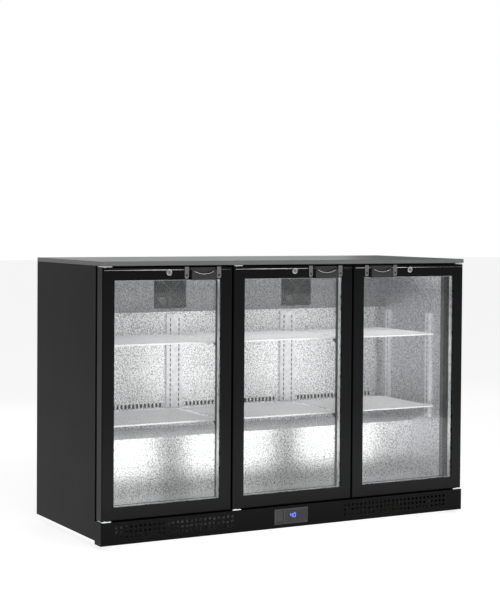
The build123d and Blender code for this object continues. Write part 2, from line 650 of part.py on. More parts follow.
# Pipes: copper runs from the compressor to the condenser and up behind the duct to the coil.
PIPE_RADIUS = 4.0
PIPE_BEND = 20.0
hot_y = COMPRESSOR[1] - 40
suction_x = COMPRESSOR[0] - 150
PIPE_RUNS = (
    (
        (COMPRESSOR[0] + POT_RADIUS - 9, hot_y, PLATE_Z + 70),
        (COMPRESSOR[0] + 170, hot_y, PLATE_Z + 70),
        (COMPRESSOR[0] + 170, hot_y, PLATE_Z + 20),
        (CONDENSER_X[0] - 14, hot_y, PLATE_Z + 20),
    ),
    (
        (COMPRESSOR[0] - POT_RADIUS - 1, COMPRESSOR[1], PLATE_Z + 70),
        (suction_x, COMPRESSOR[1], PLATE_Z + 70),
        (suction_x, BACK - 50, PLATE_Z + 70),
        (suction_x, BACK - 50, STEP_TOP - 36),
    ),
)
with BuildPart() as refrigerant_pipes:
    for points in PIPE_RUNS:
        with BuildLine() as pipe_run:
            FilletPolyline(*points, radius=PIPE_BEND)
        with BuildSketch(Plane(pipe_run.line @ 0, z_dir=pipe_run.line % 0)):
            Circle(PIPE_RADIUS)
        sweep(path=pipe_run.line)
keep(refrigerant_pipes.part, "refrigerant_pipes")

# Drip tray: open plastic tray that evaporates defrost water beside the compressor.
tray_x = (COMPRESSOR[0] + 150, CONDENSER_X[0] - 60)
tray_y = (BACK - 130, BACK - 20)
tray_z = (BASE_PLATE + SHEET, BASE_PLATE + SHEET + 40)
with BuildPart() as drip_tray:
    block(tray_x, tray_y, tray_z)
    fillet(drip_tray.edges().filter_by(Axis.Z), 12.0)
    offset(amount=-2.0, openings=drip_tray.faces().sort_by(Axis.Z)[-1])
keep(drip_tray.part, "drip_tray")

# ---- controls ------------------------------------------------------------------------------

# Control panel: a moulded bezel on the kickplate with a rocker and a thermostat in it.
ROCKER_X = (LEFT + 613.0, LEFT + 641.0)
CONTROLLER_X = (LEFT + 646.0, LEFT + 727.0)
INSET_Z = (PANEL_Z[0] + 4.0, PANEL_Z[1] - 4.0)
PANEL_PROUD = 2.0
with BuildPart() as control_panel:
    block(PANEL_X, (FRONT - PANEL_PROUD, FRONT - 0.05), PANEL_Z)
    fillet(control_panel.edges().group_by(Axis.Y)[0], 1.2)
    for x in (ROCKER_X, CONTROLLER_X):
        block(x, (FRONT - PANEL_PROUD - 1, FRONT + 1), INSET_Z, mode=Mode.SUBTRACT)
keep(control_panel.part, "control_panel")

with BuildPart() as controller:
    inset = (CONTROLLER_X[0] + CLEAR, CONTROLLER_X[1] - CLEAR)
    inset_z = (INSET_Z[0] + CLEAR, INSET_Z[1] - CLEAR)
    block(inset, (FRONT - PANEL_PROUD + 0.4, FRONT + 26), inset_z)
    block(
        (inset[0] + 12, inset[0] + 56),
        (FRONT - PANEL_PROUD - 1, FRONT - PANEL_PROUD + 1.2),
        (inset_z[0] + 12, inset_z[1] - 5),
        mode=Mode.SUBTRACT,
    )
keep(controller.part, "controller")

# Rocker: lamp switch that tips about a sideways axle through its middle.
ROCKER_PLAY = 0.8
rocker_centre = (FRONT + 3.0, (INSET_Z[0] + INSET_Z[1]) / 2)
rocker_half = (INSET_Z[1] - INSET_Z[0]) / 2 - ROCKER_PLAY
with BuildPart() as lamp_switch:
    with BuildSketch(Plane.YZ.offset(ROCKER_X[0] + ROCKER_PLAY)):
        with BuildLine():
            face_low = (FRONT - PANEL_PROUD, rocker_centre[1] - rocker_half)
            face_high = (FRONT - PANEL_PROUD, rocker_centre[1] + rocker_half)
            middle = (FRONT - PANEL_PROUD + 1.8, rocker_centre[1])
            face = ThreePointArc(face_low, middle, face_high)
            Polyline(
                face_high,
                (FRONT + 4, rocker_centre[1] + rocker_half - 2.5),
                (FRONT + 8, rocker_centre[1]),
                (FRONT + 4, rocker_centre[1] - rocker_half + 2.5),
                face_low,
            )
        make_face()
    extrude(amount=ROCKER_X[1] - ROCKER_X[0] - 2 * ROCKER_PLAY)
keep(lamp_switch.part, "lamp_switch")

# ---- doors ---------------------------------------------------------------------------------

FRAME = DOOR_FRAME_WIDTH
MITRE_GAP = 0.2
GLASS_SETBACK = 3.0
PANE = 4.0
GLAZING = 24.0
SPACER_WIDTH = 10.0
POCKET_WIDTH = 2 * (CAM_REACH + 4)
POCKET_Y = (FRONT + 24.0, FRONT + 30.0)
BRACKETS_X = (53.0, 165.5)       # from the door's middle towards its opening edge
BRACKET_WIDTH = 15.0
BRACKET_Z = (BASE + 808.0, DOOR_TOP)
BRACKET_PROUD = 3.0
BRACKET_SCREW = 3.0
GRIP_Z = (BASE + 804.0, BASE + 843.0)
GRIP_BACK_WALL = 2.5
SCOOP_RADIUS = 78.0
SCOOP_LOW = BASE + 823.0
SCOOP_TILT = 25.0
PIN_HOLE = HINGE_PIN + TURN_PLAY

for index in range(DOOR_COUNT):
    door = f"door{index + 1}"
    x0 = door_left(index)
    x1 = x0 + DOOR_WIDTH
    centre = (x0 + x1) / 2
    swing = 1 if hinge_on_left(index) else -1
    axis_x = hinge_x(index)
    axis_y = FRONT + HINGE_SETBACK

    # Frame: extruded rails mitred at the corners, a rebate for the glazing behind a front lip.
    with BuildPart() as door_frame:
        block((x0, x1), (FRONT, DOOR_BACK), (DOOR_BOTTOM, DOOR_TOP))
        fillet(door_frame.edges().group_by(Axis.Y)[0], DOOR_EDGE_RADIUS)
        opening_x = (x0 + FRAME, x1 - FRAME)
        opening_z = (DOOR_BOTTOM + FRAME, DOOR_TOP - FRAME)
        block(opening_x, (FRONT - 1, DOOR_BACK + 1), opening_z, mode=Mode.SUBTRACT)
        block(
            (opening_x[0] - 10, opening_x[1] + 10),
            (FRONT + GLASS_SETBACK, FRONT + GLASS_SETBACK + GLAZING),
            (opening_z[0] - 10, opening_z[1] + 10),
            mode=Mode.SUBTRACT,
        )
        block(
            (centre - POCKET_WIDTH / 2, centre + POCKET_WIDTH / 2),
            POCKET_Y,
            (LOCK_Z - PLUG_RADIUS - 5, DOOR_TOP + 1),
            mode=Mode.SUBTRACT,
        )
        rod((centre, FRONT - 1, LOCK_Z), POCKET_Y[0] - FRONT + 2, 8.0, mode=Mode.SUBTRACT)
        for z in (DOOR_BOTTOM - 1, DOOR_TOP - HINGE_DEPTH - 1):
            rod((axis_x, axis_y, z), HINGE_DEPTH + 2, PIN_HOLE, "Z", Mode.SUBTRACT)
        for corner_x, corner_z, tilt in (
            (x0, DOOR_BOTTOM, -45), (x1, DOOR_TOP, -45), (x0, DOOR_TOP, 45), (x1, DOOR_BOTTOM, 45),
        ):
            with Locations(Location((corner_x, (FRONT + DOOR_BACK) / 2, corner_z), (0, tilt, 0))):
                Box(4 * FRAME, DOOR_THICKNESS + 2, MITRE_GAP, mode=Mode.SUBTRACT)
    keep(door_frame.part, f"{door}_frame")

    # Glazing: two panes held apart by a hollow metal spacer bar.
    glass_x = (opening_x[0] - 9, opening_x[1] + 9)
    glass_z = (opening_z[0] - 9, opening_z[1] + 9)
    pane_y = (FRONT + GLASS_SETBACK + 0.1, FRONT + GLASS_SETBACK + GLAZING - PANE - 0.1)
    with BuildPart() as door_glass:
        for y in pane_y:
            block(glass_x, (y, y + PANE), glass_z)
    keep(door_glass.part, f"{door}_glass")

    with BuildPart() as door_spacer:
        spacer_y = (pane_y[0] + PANE + 0.02, pane_y[1] - 0.02)
        block(glass_x, spacer_y, glass_z)
        block(
            (glass_x[0] + SPACER_WIDTH, glass_x[1] - SPACER_WIDTH),
            (spacer_y[0] - 1, spacer_y[1] + 1),
            (glass_z[0] + SPACER_WIDTH, glass_z[1] - SPACER_WIDTH),
            mode=Mode.SUBTRACT,
        )
    keep(door_spacer.part, f"{door}_spacer")

    # Gasket: soft magnetic seal round the back of the frame.
    with BuildPart() as door_gasket:
        with BuildSketch(Plane.XZ.offset(-(DOOR_BACK + 0.1))):
            with Locations((centre, (DOOR_BOTTOM + DOOR_TOP) / 2)):
                RectangleRounded(DOOR_WIDTH - 16, DOOR_HEIGHT - 16, 6)
                RectangleRounded(DOOR_WIDTH - 40, DOOR_HEIGHT - 40, 3, mode=Mode.SUBTRACT)
        extrude(amount=-(GASKET_GAP - 0.6))
    keep(door_gasket.part, f"{door}_gasket")

    # Handle: a moulded grip between two metal end brackets, with a finger scoop cut from its
    # top that runs down behind the front lip.
    grip = sorted(centre + swing * edge for edge in (BRACKETS_X[0] + 20.5, BRACKETS_X[1] - 5.5))
    grip_front = FRONT - HANDLE_PROUD
    grip_back = FRONT - GRIP_BACK_WALL
    scoop_start = (sum(grip) / 2, grip_front, SCOOP_LOW + SCOOP_RADIUS / cos(radians(SCOOP_TILT)))
    scoop_run = (0, cos(radians(SCOOP_TILT)), -sin(radians(SCOOP_TILT)))
    with BuildPart() as door_grip:
        block(grip, (grip_front, grip_back), GRIP_Z)
        with Locations(Plane(scoop_start, x_dir=(1, 0, 0), z_dir=scoop_run)):
            Cylinder(SCOOP_RADIUS, 4 * SCOOP_RADIUS, mode=Mode.SUBTRACT)
        fillet(door_grip.faces().sort_by(Axis.Y)[0].edges(), 1.2)
        block(grip, (grip_back, FRONT - 0.05), GRIP_Z)
    keep(door_grip.part, f"{door}_grip")

    # Fittings: the grip's two end brackets with their screws, and the lock's barrel.
    with BuildPart() as door_fittings:
        with BuildSketch(Plane.XZ.offset(-(FRONT - 0.05))):
            for start in (BRACKETS_X[0], BRACKETS_X[1]):
                low, high = sorted(centre + swing * edge for edge in (start, start + BRACKET_WIDTH))
                middle = ((low + high) / 2, (BRACKET_Z[0] + BRACKET_Z[1]) / 2)
                with Locations(middle):
                    RectangleRounded(BRACKET_WIDTH, BRACKET_Z[1] - BRACKET_Z[0], BRACKET_WIDTH / 2 - 0.5)
                with Locations((middle[0], BRACKET_Z[1] - 10)):
                    Rectangle(BRACKET_WIDTH, 20)
        extrude(amount=BRACKET_PROUD)
        with BuildSketch(Plane.XZ.offset(-(FRONT - BRACKET_PROUD))):
            for start in (BRACKETS_X[0], BRACKETS_X[1]):
                with Locations((centre + swing * (start + BRACKET_WIDTH / 2), BRACKET_Z[0] + 11)):
                    Circle(BRACKET_SCREW)
        extrude(amount=-BRACKET_PROUD / 2, mode=Mode.SUBTRACT)
        rod((centre, FRONT - 2.2, LOCK_Z), 2.15, LOCK_RADIUS)
        fillet(door_fittings.edges().filter_by(GeomType.CIRCLE).group_by(Axis.Y)[0], 0.8)
        rod((centre, FRONT - 1, LOCK_Z), POCKET_Y[0] - FRONT, 7.9)
        rod((centre, FRONT - 5, LOCK_Z), POCKET_Y[1] - FRONT + 5, PLUG_RADIUS + TURN_PLAY, mode=Mode.SUBTRACT)
    keep(door_fittings.part, f"{door}_fittings")

    # Lock plug: turns in the barrel and carries the cam that rises behind the worktop's skirt.
    with BuildPart() as lock_plug:
        rod((centre, FRONT - 2.2, LOCK_Z), POCKET_Y[0] - FRONT + 3.0, PLUG_RADIUS)
        block(
            (centre - 0.8, centre + 0.8),
            (FRONT - 3, FRONT + 4),
            (LOCK_Z - 3.4, LOCK_Z + 3.4),
            mode=Mode.SUBTRACT,
        )
        with BuildSketch(Plane.XZ.offset(-(POCKET_Y[0] + 0.8))):
            with Locations((centre, LOCK_Z)):
                Circle(PLUG_RADIUS)
            with Locations((centre - swing * (CAM_REACH - 5) / 2, LOCK_Z)):
                Rectangle(CAM_REACH - 5, 10)
            with Locations((centre - swing * (CAM_REACH - 5), LOCK_Z)):
                Circle(5)
        extrude(amount=-3.0)
    keep(lock_plug.part, f"{door}_lock_plug")

# Hinge brackets: plates in the gaps above and below each door, with a pin into the door frame.
HINGE_PLATE = 30.0
with BuildPart() as hinge_brackets:
    for index in range(DOOR_COUNT):
        x = hinge_x(index)
        y = FRONT + HINGE_SETBACK
        plate_x = (x - 10, x + HINGE_PLATE - 10) if hinge_on_left(index) else (x - 20, x + 10)
        block(plate_x, (FRONT + 1, CASE_FRONT - 12.5), (DOOR_TOP + 1, DOOR_TOP + 4))
        block(plate_x, (CASE_FRONT - 12.5, CASE_FRONT - 0.1), (DOOR_TOP + 1, DOOR_TOP + 4))
        block(plate_x, (CASE_FRONT - 2.1, CASE_FRONT - 0.1), (DOOR_TOP + 1, DOOR_TOP + 4.5))
        rod((x, y, DOOR_TOP - HINGE_DEPTH + 1), HINGE_DEPTH, HINGE_PIN, "Z")
        block(plate_x, (FRONT + 1.5, CASE_FRONT - 13), (DOOR_BOTTOM - 4, DOOR_BOTTOM - 1))
        rod((x, y, DOOR_BOTTOM - 1), HINGE_DEPTH, HINGE_PIN, "Z")
keep(hinge_brackets.part, "hinge_brackets")

# Screws: pan heads that hold the kickplate, the service grille and the back panel.
SCREW_HEAD = 4.0
with BuildPart() as screws:
    for x in (LEFT + 90, -250.0, 250.0, grille_x[1] - 30):
        for z in (BASE_PLATE + 9, GRILLE_TOP - 8):
            rod((x, BACK_FACE + 0.02, z), SCREW_HEAD_HEIGHT, SCREW_HEAD)
    for x in (LEFT + 15, -225.0, 225.0, RIGHT - 15):
        rod((x, BACK_FACE + 0.02, SIDE_TOP - 14), SCREW_HEAD_HEIGHT, SCREW_HEAD)
keep(screws.part, "screws")

print(len(PARTS), "pieces")
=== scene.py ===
"""Looks of a three-door back bar bottle cooler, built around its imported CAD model.

Laid out as an add-on: property groups hold the sizes and colours, operators make the pieces and the
stage, and one panel lists them. Lengths are metres in the frame's own axes: +X right, +Y back, +Z up.
"""

import json
import math

import bmesh
import bpy
from mathutils import Matrix, Vector

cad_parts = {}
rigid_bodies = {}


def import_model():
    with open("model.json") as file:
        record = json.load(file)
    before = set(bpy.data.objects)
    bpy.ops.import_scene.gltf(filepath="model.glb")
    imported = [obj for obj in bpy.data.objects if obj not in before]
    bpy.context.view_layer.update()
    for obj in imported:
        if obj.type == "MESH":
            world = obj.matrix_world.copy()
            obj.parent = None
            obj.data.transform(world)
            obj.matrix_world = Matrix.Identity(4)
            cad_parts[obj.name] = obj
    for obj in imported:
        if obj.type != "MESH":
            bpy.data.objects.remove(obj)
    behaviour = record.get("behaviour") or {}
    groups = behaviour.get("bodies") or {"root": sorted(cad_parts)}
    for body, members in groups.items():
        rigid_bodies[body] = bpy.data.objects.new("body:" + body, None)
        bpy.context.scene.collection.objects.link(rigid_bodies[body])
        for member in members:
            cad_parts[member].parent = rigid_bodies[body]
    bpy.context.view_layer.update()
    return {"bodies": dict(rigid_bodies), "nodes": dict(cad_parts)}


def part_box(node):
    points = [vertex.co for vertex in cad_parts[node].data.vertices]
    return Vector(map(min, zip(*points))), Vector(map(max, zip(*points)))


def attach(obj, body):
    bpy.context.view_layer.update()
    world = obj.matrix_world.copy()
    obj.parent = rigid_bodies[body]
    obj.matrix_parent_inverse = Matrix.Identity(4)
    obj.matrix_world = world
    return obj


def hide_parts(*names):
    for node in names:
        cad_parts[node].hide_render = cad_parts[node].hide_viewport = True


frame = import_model()

bl_info = {
    "name": "Back bar bottle cooler",
    "version": (1, 0, 0),
    "blender": (4, 5, 0),
    "location": "View3D > Sidebar > Cooler",
    "description": "Finishes, wirework, seals and studio for a three-door bottle cooler",
    "category": "Object",
}

DOORS = tuple(name for name in ("door1", "door2", "door3") if name in frame["bodies"])
RIGHT_HINGED = "door3"

STEP_LIMIT = 0.40             # liner faces lower than this belong to its floor and step
WALL_NORMAL = 0.5             # faces turned further sideways than this are side walls

RAIL_SHEET = 0.0012           # sheet of the shelf rails
REAR_RAIL = 0.04              # rails wider than this are on the duct panel, the others on the walls
BACKING = 0.0008              # near-black strips behind the slots, painted shade
BACKING_GAP = 0.0002
BACKING_INSET = 0.001         # strips end this far inside a rail's ends
DUCT_SLOTS = 0.375            # middle height of the slots in the duct panel
DUCT_STRIP = 0.012            # half the height of the near-black strip behind them, painted shade
DUCT_MARGIN = 0.02            # the strip ends this far inside the duct panel's sides

HALF_MULLION = 0.020
SHELF_GAP = 0.0015            # half the gap between neighbouring shelves

DIGIT_INSET = 0.020           # first digit from the thermostat's left end
DIGIT_SUNK = 0.0012           # digits behind the thermostat's face
DIGIT_RELIEF = 0.0005

RAIL_HIGHLIGHT_DROP = 0.0085            # painted highlight: a thin bright bead on a door's top rail, below its upper edge
RAIL_HIGHLIGHT_INSET = 0.006
RAIL_HIGHLIGHT_PROUD = 0.0002
RAIL_HIGHLIGHT_RADIUS = 0.0009
SCOOP_RADIUS = 0.078
SCOOP_TILT = math.radians(25.0)
SCOOP_LOW = 0.020             # lowest point of the finger scoop, below the grip's top
SCOOP_SPREAD = 27.0           # degrees of arc on each side of that point
# painted highlight: a thin bright bead along the lip of each finger scoop
LIP_HIGHLIGHT_SETBACK = 0.0012
LIP_HIGHLIGHT_RADIUS = 0.0008
PLUG_RADIUS = 0.006
LOCK_RING = 0.0082
LOCK_RING_WIRE = 0.0012
KEY_SLOT = (0.0008, 0.0035)   # half its width and half its height
KEY_SLOT_DEPTH = (-0.0003, 0.0004)

SCREW_OFFSET = 0.013          # bracket screws from the grip's ends
SCREW_RISE = 0.011            # and above the foot of the brackets
FLOOR_GLOW = 0.8


# ---- node trees ----------------------------------------------------------------------------


class Value:
    """A number socket that Python's operators extend with Math nodes."""

    def __init__(self, tree, socket):
        self.tree = tree
        self.socket = socket

    def math(self, operation, first, second=0.0):
        made = self.tree.node("ShaderNodeMath", {"operation": operation}, {0: first, 1: second})
        return Value(self.tree, made.outputs[0])

    def __add__(self, other):
        return self.math("ADD", self, other)

    def __sub__(self, other):
        return self.math("SUBTRACT", self, other)

    def __rsub__(self, other):
        return self.math("SUBTRACT", other, self)

    def __mul__(self, other):
        return self.math("MULTIPLY", self, other)

    def __pow__(self, other):
        return self.math("POWER", self, other)

    __radd__ = __add__
    __rmul__ = __mul__


class Tree:
    """A node tree with one method that adds any node."""

    def __init__(self, tree):
        self.tree = tree

    def node(self, kind, settings=None, sockets=None):
        made = self.tree.nodes.new(kind)
        for key, value in (settings or {}).items():
            if key == "stops":
                ramp = made.color_ramp.elements
                while len(ramp) < len(value):
                    ramp.new(1.0)
                for element, (place, colour) in zip(ramp, value):
                    element.position = place
                    element.color = colour
            else:
                setattr(made, key, value)
        for key, value in (sockets or {}).items():
            self.feed(made.inputs[key], value)
        return made

    def feed(self, target, value):
        if isinstance(value, Value):
            self.tree.links.new(value.socket, target)
        elif isinstance(value, bpy.types.NodeSocket):
            self.tree.links.new(value, target)
        else:
            target.default_value = value


class Finish(Tree):
    """A material: its Principled shader, object coordinates and the patterns that vary it."""

    def __init__(self, name, colour, metallic=0.0, **constants):
        self.material = bpy.data.materials.new(name)
        self.material.use_nodes = True
        self.material.diffuse_color = (*colour, 1.0)
        super().__init__(self.material.node_tree)
        self.shader = self.tree.nodes["Principled BSDF"]
        self.colour = colour
        self.shader.inputs["Base Color"].default_value = (*colour, 1.0)
        self.shader.inputs["Metallic"].default_value = metallic
        for key, value in constants.items():
            self.shader.inputs[key.replace("_", " ")].default_value = value
        self.place = self.node("ShaderNodeTexCoord").outputs["Object"]

    def stretched(self, scale):
        made = self.node("ShaderNodeMapping", None, {"Vector": self.place, "Scale": scale})
        return made.outputs[0]

    def noise(self, scale, detail=2.0, roughness=0.5, place=None):
        sockets = {"Scale": scale, "Detail": detail, "Roughness": roughness}
        made = self.node("ShaderNodeTexNoise", None, {**sockets, "Vector": place or self.place})
        return Value(self, made.outputs[0])

    def cells(self, scale, feature="F1"):
        sockets = {"Scale": scale, "Vector": self.place}
        made = self.node("ShaderNodeTexVoronoi", {"feature": feature}, sockets)
        return Value(self, made.outputs["Distance"])

    def ramp(self, value, low, high):
        sockets = {"Value": value, "From Min": low, "From Max": high}
        made = self.node("ShaderNodeMapRange", {"interpolation_type": "SMOOTHSTEP"}, sockets)
        return Value(self, made.outputs[0])

    def shades(self, value, dark, light):
        """Base colour between two multiples of the finish's own colour."""
        stops = [
            (0.25, (*[c * dark for c in self.colour], 1.0)),
            (0.75, (*[c * light for c in self.colour], 1.0)),
        ]
        made = self.node("ShaderNodeValToRGB", {"stops": stops}, {0: value})
        self.feed(self.shader.inputs["Base Color"], made.outputs[0])

    def roughness(self, value):
        self.feed(self.shader.inputs["Roughness"], value)

    def bump(self, height, distance):
        sockets = {"Height": height, "Distance": distance, "Strength": 1.0}
        made = self.node("ShaderNodeBump", None, sockets)
        self.feed(self.shader.inputs["Normal"], made.outputs[0])


# ---- finishes ------------------------------------------------------------------------------


def powder_coat(name, colour, roughness, grain=0.00006, gloss=0.3):
    """Satin powder coating: fine orange peel, faint handling marks."""
    finish = Finish(name, colour, Specular_IOR_Level=gloss)
    peel = finish.noise(700.0, 2.0)
    marks = finish.noise(6.0, 5.0, 0.6)
    finish.shades(marks, 0.95, 1.06)
    finish.roughness(roughness + (marks - 0.5) * 0.07 + (peel - 0.5) * 0.06)
    finish.bump(peel, grain)
    return finish.material


def anodised(name, colour, roughness, gloss=0.15):
    """Black anodised extrusion: very fine lines along the rails."""
    finish = Finish(name, colour, Specular_IOR_Level=gloss)
    lines = finish.noise(1.0, 2.0, 0.5, finish.stretched((900.0, 900.0, 30.0)))
    marks = finish.noise(9.0, 4.0)
    finish.shades(marks, 0.85, 1.2)
    finish.roughness(roughness + (lines - 0.5) * 0.1 + (marks - 0.5) * 0.08)
    finish.bump(lines, 0.00002)
    return finish.material


def stucco(name, colour, roughness, depth):
    """Stucco-embossed aluminium: close irregular dimples over a slightly wavy sheet."""
    finish = Finish(name, colour, 1.0)
    dimples = finish.cells(230.0, "SMOOTH_F1")
    pebbles = finish.noise(320.0, 1.0, 0.6)
    wave = finish.noise(5.0, 2.0)
    grain = finish.ramp(pebbles, 0.36, 0.62)
    finish.shades(grain, 0.5, 1.22)
    finish.roughness(roughness + (pebbles - 0.5) * 0.3)
    finish.bump(dimples * 0.7 + pebbles * 0.8 + wave * 0.8, depth)
    return finish.material


def brushed(name, colour, roughness):
    """Rolled or galvanised steel with fine lines and soft spangle."""
    finish = Finish(name, colour, 1.0)
    lines = finish.noise(1.0, 3.0, 0.6, finish.stretched((30.0, 900.0, 900.0)))
    spangle = finish.cells(60.0)
    finish.shades(spangle, 0.9, 1.08)
    finish.roughness(roughness + (lines - 0.5) * 0.22 + (spangle - 0.4) * 0.1)
    finish.bump(lines, 0.00003)
    return finish.material


def moulded(name, colour, roughness, grain=0.00005, **constants):
    """Moulded plastic with spark-eroded grain."""
    finish = Finish(name, colour, 0.0, **constants)
    sparks = finish.noise(1400.0, 3.0, 0.7)
    clouds = finish.noise(14.0, 3.0)
    finish.shades(clouds, 0.9, 1.12)
    finish.roughness(roughness + (sparks - 0.5) * 0.12)
    finish.bump(sparks, grain)
    return finish.material


def rubber(name, colour):
    finish = Finish(name, colour, 0.0, Sheen_Weight=0.15)
    dust = finish.noise(40.0, 5.0, 0.65)
    finish.shades(dust, 0.85, 1.35)
    finish.roughness(0.62 + (dust - 0.5) * 0.2)
    finish.bump(finish.noise(900.0, 2.0), 0.00004)
    return finish.material


def coated_wire(name, colour):
    """Thick dip coating on wire: glossy, with slow thickness waves."""
    finish = Finish(name, colour, 0.0, Coat_Weight=0.3, Coat_Roughness=0.15)
    waves = finish.noise(60.0, 2.0)
    finish.shades(waves, 0.95, 1.03)
    finish.roughness(0.3 + (waves - 0.5) * 0.15)
    finish.bump(waves, 0.0001)
    return finish.material


def chromed(name, colour, roughness):
    finish = Finish(name, colour, 1.0)
    haze = finish.noise(50.0, 4.0)
    lines = finish.noise(1.0, 2.0, 0.5, finish.stretched((1200.0, 1200.0, 60.0)))
    finish.shades(haze, 0.94, 1.04)
    finish.roughness(roughness + (haze - 0.5) * 0.1 + (lines - 0.5) * 0.06)
    finish.bump(lines, 0.00001)
    return finish.material


def clear_glass(name):
    """Flat pane: clear, with the mirror share that its angle gives and a trace of wiping haze."""
    finish = Finish(name, (0.9, 0.93, 0.92), 1.0)
    facing = Value(finish, finish.node("ShaderNodeLayerWeight", None, {"Blend": 0.5}).outputs["Facing"])
    mirror = facing ** 5.0 * 0.96 + 0.04
    haze = finish.noise(4.0, 5.0, 0.6)
    finish.feed(finish.shader.inputs["Alpha"], mirror * 0.35 + haze * 0.006)
    finish.roughness(0.02 + haze * 0.03)
    return finish.material


def glowing(name, colour, strength):
    finish = Finish(name, colour, 0.0, Roughness=0.4)
    finish.shader.inputs["Emission Color"].default_value = (*colour, 1.0)
    finish.shader.inputs["Emission Strength"].default_value = strength
    grain = finish.noise(200.0, 2.0)
    finish.shades(grain, 0.95, 1.05)
    finish.roughness(0.35 + grain * 0.1)
    return finish.material


def foam(name, colour):
    finish = Finish(name, colour, 0.0, Subsurface_Weight=0.1)
    bubbles = finish.cells(300.0)
    finish.shades(bubbles, 0.85, 1.05)
    finish.roughness(0.8 + bubbles * 0.1)
    finish.bump(bubbles, 0.0005)
    return finish.material


def copper(name, colour):
    finish = Finish(name, colour, 1.0)
    tarnish = finish.noise(25.0, 5.0, 0.65)
    finish.shades(tarnish, 0.7, 1.1)
    finish.roughness(0.22 + tarnish * 0.22)
    finish.bump(finish.noise(500.0, 2.0), 0.00002)
    return finish.material


# ---- mesh and geometry-node helpers --------------------------------------------------------


def new_piece(name, mesh, material, body, stands_for=(), smooth=True):
    """Puts a finished mesh in the scene at the origin, on a body of the frame."""
    obj = bpy.data.objects.new(name, mesh)
    bpy.context.scene.collection.objects.link(obj)
    if not mesh.materials:
        mesh.materials.append(material)
    mesh.shade_smooth() if smooth else mesh.shade_flat()
    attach(obj, body)
    if stands_for:
        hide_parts(*stands_for)
    return obj


def from_bmesh(name, shape):
    bmesh.ops.remove_doubles(shape, verts=shape.verts, dist=1e-6)
    bmesh.ops.recalc_face_normals(shape, faces=shape.faces)
    mesh = bpy.data.meshes.new(name)
    shape.to_mesh(mesh)
    shape.free()
    return mesh


class GeometryTree(Tree):
    """A geometry node tree with named inputs, baked into one plain mesh."""

    def __init__(self, name, inputs):
        super().__init__(bpy.data.node_groups.new(name, "GeometryNodeTree"))
        face = self.tree.interface
        face.new_socket("Geometry", in_out="OUTPUT", socket_type="NodeSocketGeometry")
        self.identifiers = {}
        for label, kind in inputs.items():
            item = face.new_socket(label, in_out="INPUT", socket_type=f"NodeSocket{kind}")
            self.identifiers[label] = item.identifier
        item = face.new_socket("Finish", in_out="INPUT", socket_type="NodeSocketMaterial")
        self.identifiers["Finish"] = item.identifier
        self.inputs = self.tree.nodes.new("NodeGroupInput").outputs

    def get(self, label):
        return Value(self, self.inputs[label])

    def tube(self, curve, diameter, sides):
        circle = self.node(
            "GeometryNodeCurvePrimitiveCircle", None, {"Resolution": sides, "Radius": diameter * 0.5}
        )
        sockets = {"Curve": curve, "Profile Curve": circle.outputs[0], "Fill Caps": True}
        return self.node("GeometryNodeCurveToMesh", None, sockets).outputs[0]

    def join(self, *parts):
        made = self.node("GeometryNodeJoinGeometry")
        for part in parts:
            self.tree.links.new(part, made.inputs[0])
        return made.outputs[0]

    def vector(self, x=0.0, y=0.0, z=0.0):
        return self.node("ShaderNodeCombineXYZ", None, {0: x, 1: y, 2: z}).outputs[0]

    def close(self, geometry):
        real = self.node("GeometryNodeRealizeInstances", None, {0: geometry}).outputs[0]
        sockets = {"Geometry": real, "Material": self.inputs["Finish"]}
        done = self.node("GeometryNodeSetMaterial", None, sockets).outputs[0]
        output = self.tree.nodes.new("NodeGroupOutput")
        self.tree.links.new(done, output.inputs[0])

    def bake(self, name, runs, material):
        """Runs the tree once for each dict of input values and joins the meshes."""
        whole = bmesh.new()
        for values in runs:
            holder = bpy.data.objects.new(f"{name}_holder", bpy.data.meshes.new(f"{name}_holder"))
            bpy.context.scene.collection.objects.link(holder)
            modifier = holder.modifiers.new("build", "NODES")
            modifier.node_group = self.tree
            for label, value in {**values, "Finish": material}.items():
                modifier[self.identifiers[label]] = value
            graph = bpy.context.evaluated_depsgraph_get()
            mesh = bpy.data.meshes.new_from_object(holder.evaluated_get(graph))
            holder.modifiers.remove(modifier)
            whole.from_mesh(mesh)
            bpy.data.objects.remove(holder)
            bpy.data.meshes.remove(mesh)
        mesh = bpy.data.meshes.new(name)
        whole.to_mesh(mesh)
        whole.free()
        mesh.materials.append(material)
        return mesh


def swept_frame(name, profile, centre, width, height, corner, steps=6):
    """Sweeps a closed (inset, depth) profile round a rectangle with rounded corners in XZ."""
    shape = bmesh.new()
    rings = []
    for turn, (sx, sz) in enumerate(((1, 1), (-1, 1), (-1, -1), (1, -1))):
        cx = centre[0] + sx * (width / 2 - corner)
        cz = centre[2] + sz * (height / 2 - corner)
        for step in range(steps + 1):
            angle = math.radians(90.0) * (turn + step / steps)
            out = Vector((math.cos(angle), 0.0, math.sin(angle)))
            ring = []
            for inset, depth in profile:
                point = Vector((cx, centre[1] + depth, cz)) + out * (corner - inset)
                ring.append(shape.verts.new(point))
            rings.append(ring)
    count = len(profile)
    for here, there in zip(rings, rings[1:] + rings[:1]):
        for index in range(count):
            after = (index + 1) % count
            shape.faces.new((here[index], here[after], there[after], there[index]))
    return from_bmesh(name, shape)


def lathe(shape, profile, place, axis, sides=24, recess=None):
    """Turns a (radius, height) profile about an axis; recess(angle) gives the last ring's radius."""
    turn = Vector((0, 0, 1)).rotation_difference(Vector(axis)).to_matrix()
    rings = []
    for level, (radius, height) in enumerate(profile):
        ring = []
        for side in range(sides):
            angle = math.tau * side / sides
            reach = radius
            if recess and level >= len(profile) - 2:
                reach = recess(angle)
            local = Vector((math.cos(angle) * reach, math.sin(angle) * reach, height))
            ring.append(shape.verts.new(Vector(place) + turn @ local))
        rings.append(ring)
    for lower, upper in zip(rings, rings[1:]):
        for side in range(sides):
            after = (side + 1) % sides
            shape.faces.new((lower[side], lower[after], upper[after], upper[side]))
    shape.faces.new(reversed(rings[0]))
    shape.faces.new(rings[-1])


